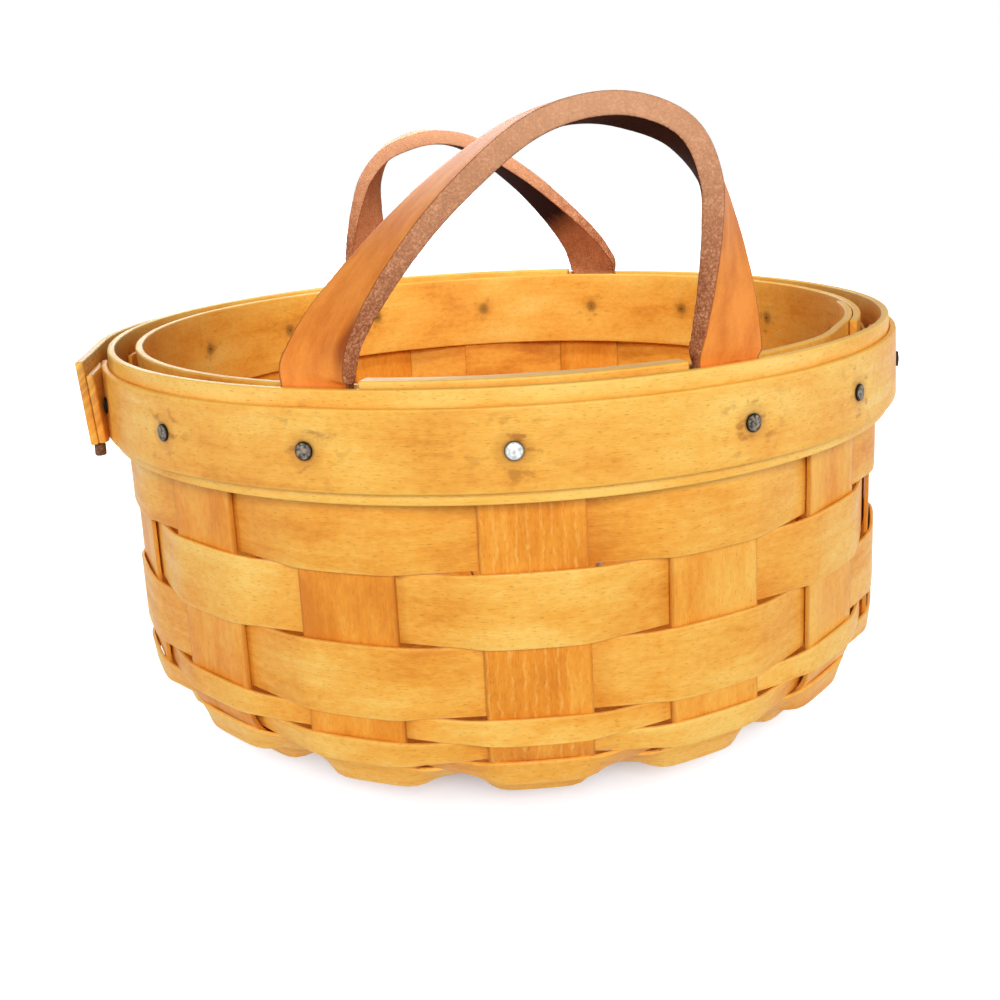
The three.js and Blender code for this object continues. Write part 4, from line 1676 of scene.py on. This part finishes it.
        def shape(along: np.ndarray, across: np.ndarray, through: np.ndarray) -> np.ndarray:
            """Bend the strap, twisted from facing outwards at the rim to lying flat over the arch.

            Args:
                along: Flat places along the strap.
                across: Flat places across the width.
                through: Flat places through the thickness.

            Returns:
                Points on the basket.
            """
            s = along + total / 2
            beside = across / (self.width / 2)
            raw = smoothstep((np.abs(beside) - self.raw_from) / (1 - self.raw_from)) * np.sign(beside)
            fray = sum(np.sin(s / wave + slant * through / self.thick) for wave, slant in self.fray_waves)
            across = across - raw * (self.raw_edge + self.fray * fray)
            u, z = (np.interp(s, length, points[:, i]) for i in (0, 1))
            hu, hz = (np.interp(s, length, heading[:, i]) for i in (0, 1))
            twist = self.twist(s - left_exit, span)
            rise = smoothstep(z / self.arch_height)
            full = self.thick * (self.leg_thin + (1 - self.leg_thin) * rise)
            swollen = smoothstep(z / self.swell_height)
            thick = (self.tuck_thick + (full - self.tuck_thick) * swollen) / self.thick
            broad = smoothstep(z / self.broad_rise) * smoothstep(1 - z / (self.broad_to * self.arch_height))
            across = across * (1 + self.leg_broad * broad)
            level = smoothstep(2 * np.clip(1 - np.abs(beside), 0, 1))
            domed = smoothstep((z - self.crown_from) / self.crown_rise)
            crown = self.crown * level * np.sign(through) * domed
            above_foot = (s - left_exit) / MM
            lump = self.bump(above_foot, beside, *self.lump)
            pucker = self.bump(above_foot, beside, *self.pucker)
            puckered = (lump - self.pucker_share * pucker) * self.lump_height * (through > 0)
            depth = through * thick + crown + puckered
            away = np.cos(twist) * depth - np.sin(twist) * across
            towards = np.sin(twist) * depth + np.cos(twist) * across
            height = z + hu * away + self.rim_height - self.settle * rise
            spots = np.stack([u - hz * away, -self.leg_depth - towards, height], axis=1)
            return spots * np.array([-1, -1, 1]) if self.turned else spots

        piece = strip.bend(shape)
        bpy.ops.object.mode_set(mode="EDIT")
        bpy.ops.mesh.select_all(action="SELECT")
        bpy.ops.mesh.remove_doubles(threshold=0.01 * MM)
        bpy.ops.mesh.normals_make_consistent(inside=False)
        bpy.ops.object.mode_set(mode="OBJECT")
        piece.data.materials.append(self.material)
        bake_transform(piece)
        parts = ("end_left", "end_right", "flex_left", "flex_right", "strap")
        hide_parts(*[f"{self.side.value}_handle_{part}" for part in parts])
        return piece


class LampKind(Enum):
    """The two kinds of lamp in the studio."""

    SOFT_BOX = "AREA"
    SPOT = "SPOT"


@dataclass(frozen=True)
class StudioLamp:
    """One lamp: its place, power in watts, size and aim and, for a spot, its cone in degrees."""

    name: str
    place: Place
    watts: float
    size: float
    aim: Place = (0.0, 0.0, 0.08)
    kind: LampKind = LampKind.SOFT_BOX
    cone_deg: float = 40.0
    cone_blend: float = 0.8

    def hang(self) -> None:
        """Hang the lamp and turn it to what it faces."""
        data = bpy.data.lights.new(self.name, self.kind.value)
        data.energy = self.watts
        if self.kind is LampKind.SOFT_BOX:
            data.size = self.size
        else:
            data.shadow_soft_size = self.size
            data.spot_size = math.radians(self.cone_deg)
            data.spot_blend = self.cone_blend
        lamp = bpy.data.objects.new(self.name, data)
        lamp.location = self.place
        lamp.rotation_euler = (Vector(self.aim) - Vector(self.place)).to_track_quat("-Z", "Y").to_euler()
        bpy.context.scene.collection.objects.link(lamp)


@dataclass
class Studio:
    """Pale floor, soft light and the camera of the photograph.

    A high key stands above the camera and one lamp behind for the back. Low fills light the sides, and a spot
    from over the front rim lights the inside.
    """

    rim_radius: float = RIM_RADIUS
    rim_height: float = RIM_HEIGHT
    distance_in_radii: float = 2.9766
    elevation_deg: float = 7.87
    side_deg: float = -2.88
    roll_deg: float = -2.78
    focal_px: float = 1098.7
    frame_px: float = 1000.0
    centre_px: tuple[float, float] = (496.9, 311.5)
    sensor_mm: float = 36.0
    floor_colour: str = "#D3DAE4"
    floor_size: float = 12.0
    floor_drop: float = 0.4 * MM
    floor_glow: float = 0.95
    far_glow: float = 1.2
    shade_from: float = 78 * MM
    shade_to: float = 112 * MM
    clear_to: float = 420 * MM
    ambient: float = 0.15
    lamps: tuple[StudioLamp, ...] = (
        StudioLamp("key_lamp", (0.15, -2.75, 1.50), 68.0, 1.1),
        StudioLamp("back_lamp", (-0.60, 2.70, 1.10), 28.0, 1.3),
        StudioLamp("left_fill_lamp", (-1.15, -0.55, 0.065), 2.5, 0.12),
        StudioLamp("right_fill_lamp", (1.20, -0.40, 0.065), 2.3, 0.12),
        StudioLamp("inside_lamp", (0.02, -0.12, 0.50), 4.5, 0.05, aim=(0.02, 0.12, 0.07), kind=LampKind.SPOT),
    )

    def seen(self, tree: bpy.types.NodeTree) -> Socket:
        """Tell the rays that show a background: to the camera, in a gloss or through glass.

        Args:
            tree: The node tree that it is for.

        Returns:
            A factor that is 1 for them.
        """
        path = add_node(tree, "ShaderNodeLightPath").node.outputs
        either = {0: path["Is Camera Ray"], 1: path["Is Glossy Ray"]}
        first = add_node(tree, "ShaderNodeMath", either, operation="MAXIMUM")
        both = {0: first, 1: path["Is Transmission Ray"]}
        return add_node(tree, "ShaderNodeMath", both, operation="MAXIMUM")

    def build(self) -> None:
        """Set up the floor, the lamps, the world and the camera."""
        self.floor()
        for lamp in self.lamps:
            lamp.hang()
        self.world()
        self.camera()

    def floor(self) -> None:
        """Lay a pale floor that glows white to the camera, its glow faded out towards the basket as painted
        shade round the foot.
        """
        bpy.ops.object.select_all(action="DESELECT")
        bpy.ops.mesh.primitive_plane_add(size=self.floor_size, location=(0, 0, -self.floor_drop))
        floor = bpy.context.object
        floor.name = "studio_floor"
        bpy.ops.object.transform_apply(location=True, rotation=True, scale=True)
        material, tree = new_material("white_paper_floor")
        node = partial(add_node, tree)
        paint = {"Base Color": linear_colour(self.floor_colour), "Roughness": 1.0, "Specular IOR Level": 0.0}
        dress_shader(tree, paint)
        paper = tree.nodes["Principled BSDF"].outputs[0]
        place = node("ShaderNodeTexCoord", out="Object")
        out = node("ShaderNodeVectorMath", {0: place}, out="Value", operation="LENGTH")
        # The glow rises with distance from the basket's middle: none under the basket, and painted shade
        # where it fades out round the foot.
        levels = []
        for start, end, glow in (
            (self.shade_from, self.shade_to, self.floor_glow), (self.shade_to, self.clear_to, self.far_glow)
        ):
            limits = {"Value": out, "From Min": start, "From Max": end, "To Max": glow}
            levels.append(node("ShaderNodeMapRange", limits))
        level = node("ShaderNodeMath", {0: levels[0], 1: levels[1]}, operation="MAXIMUM")
        glow = node("ShaderNodeEmission", {"Color": linear_colour("#FFFFFF"), "Strength": level})
        both = node("ShaderNodeAddShader", {0: paper, 1: glow})
        shown = node("ShaderNodeMixShader", {0: self.seen(tree), 1: paper, 2: both})
        tree.links.new(shown, tree.nodes["Material Output"].inputs["Surface"])
        floor.data.materials.append(material)

    def world(self) -> None:
        """Set white surroundings, plain white where the camera sees them."""
        scene = bpy.context.scene
        scene.world = bpy.data.worlds.new("white_surround")
        scene.world.use_nodes = True
        tree = scene.world.node_tree
        limits = {"Value": self.seen(tree), "To Min": self.ambient, "To Max": 1.0}
        level = add_node(tree, "ShaderNodeMapRange", limits)
        feed(tree, tree.nodes["Background"], {"Color": linear_colour("#FFFFFF"), "Strength": level})
        scene.view_settings.view_transform = "Standard"

    def camera(self) -> None:
        """Place the camera as fitted to the rim, the bands and the stakes of the photograph."""
        data = bpy.data.cameras.new("photo_camera")
        camera = bpy.data.objects.new("photo_camera", data)
        bpy.context.scene.collection.objects.link(camera)
        data.sensor_width = self.sensor_mm
        data.lens = self.focal_px / self.frame_px * self.sensor_mm
        data.shift_x = 0.5 - self.centre_px[0] / self.frame_px
        data.shift_y = self.centre_px[1] / self.frame_px - 0.5
        data.clip_start = 10 * MM
        azimuth = math.radians(self.side_deg)
        elevation = math.radians(self.elevation_deg)
        roll = math.radians(self.roll_deg)
        flat = math.cos(elevation)
        back = Vector((math.sin(azimuth) * flat, -math.cos(azimuth) * flat, math.sin(elevation)))
        right = Vector((math.cos(azimuth), math.sin(azimuth), 0.0))
        up = back.cross(right)
        turned_right = right * math.cos(roll) + up * math.sin(roll)
        turned_up = up * math.cos(roll) - right * math.sin(roll)
        basis = Matrix((turned_right, turned_up, back)).transposed().to_4x4()
        place = Vector((0, 0, self.rim_height)) + back * self.distance_in_radii * self.rim_radius
        camera.matrix_world = Matrix.Translation(place) @ basis
        bpy.context.scene.camera = camera


def main() -> None:
    """Build every sub-assembly on the frame, then the studio."""
    logging.basicConfig(level=logging.INFO, format="%(name)s: %(message)s")
    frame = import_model()
    LOG.info("frame with %d nodes", len(frame["nodes"]))
    profile = WallProfile()
    stake_maple = MapleFinish(
        MapleCut.STAKE, light="#F8BF56", pale="#F3AB42", honey="#EC982E", deep="#D97F1E",
        # Darker stake edges: painted shade where the weavers pass behind.
        side="#A8611D", painted_edge_share=0.4,
    )
    weaver_maple = MapleFinish(
        MapleCut.WEAVER, light="#FACA66", pale="#F5B44B", honey="#EEA239", deep="#DA8424"
    )
    band_maple = MapleFinish(
        MapleCut.BAND, light="#FBCC68", pale="#F7B94F", honey="#F1A941", deep="#DB8A2C",
        # Paler band edges: painted highlight on the rounded edges lit from above, partly lacquer wear.
        side="#FFCF5E", painted_edge_share=0.4,
    )
    leather = StrapLeather().build()
    bands = RimBands(band_maple)
    pieces = Splints(profile, stake_maple).build()
    pieces += Weavers(profile, weaver_maple).build()
    pieces += bands.build()
    # A brighter copy of the tack steel for the front middle tack: a painted glint where it catches the key
    # light.
    glint_steel = TackSteel("glint_tack_steel", bright="#D6D9D6", dark="#A4A6A2", rim="#524B45")
    pieces += Tacks(bands, TackSteel(), glint_steel).build()
    pieces += [HandleStrap(side, leather).build() for side in HandleSide]
    pieces.append(Peg(PegWood()).build())
    for piece in pieces:
        LOG.info("%s: %d faces", piece.name, len(piece.data.polygons))
    Studio().build()


if __name__ == "__main__":
    main()
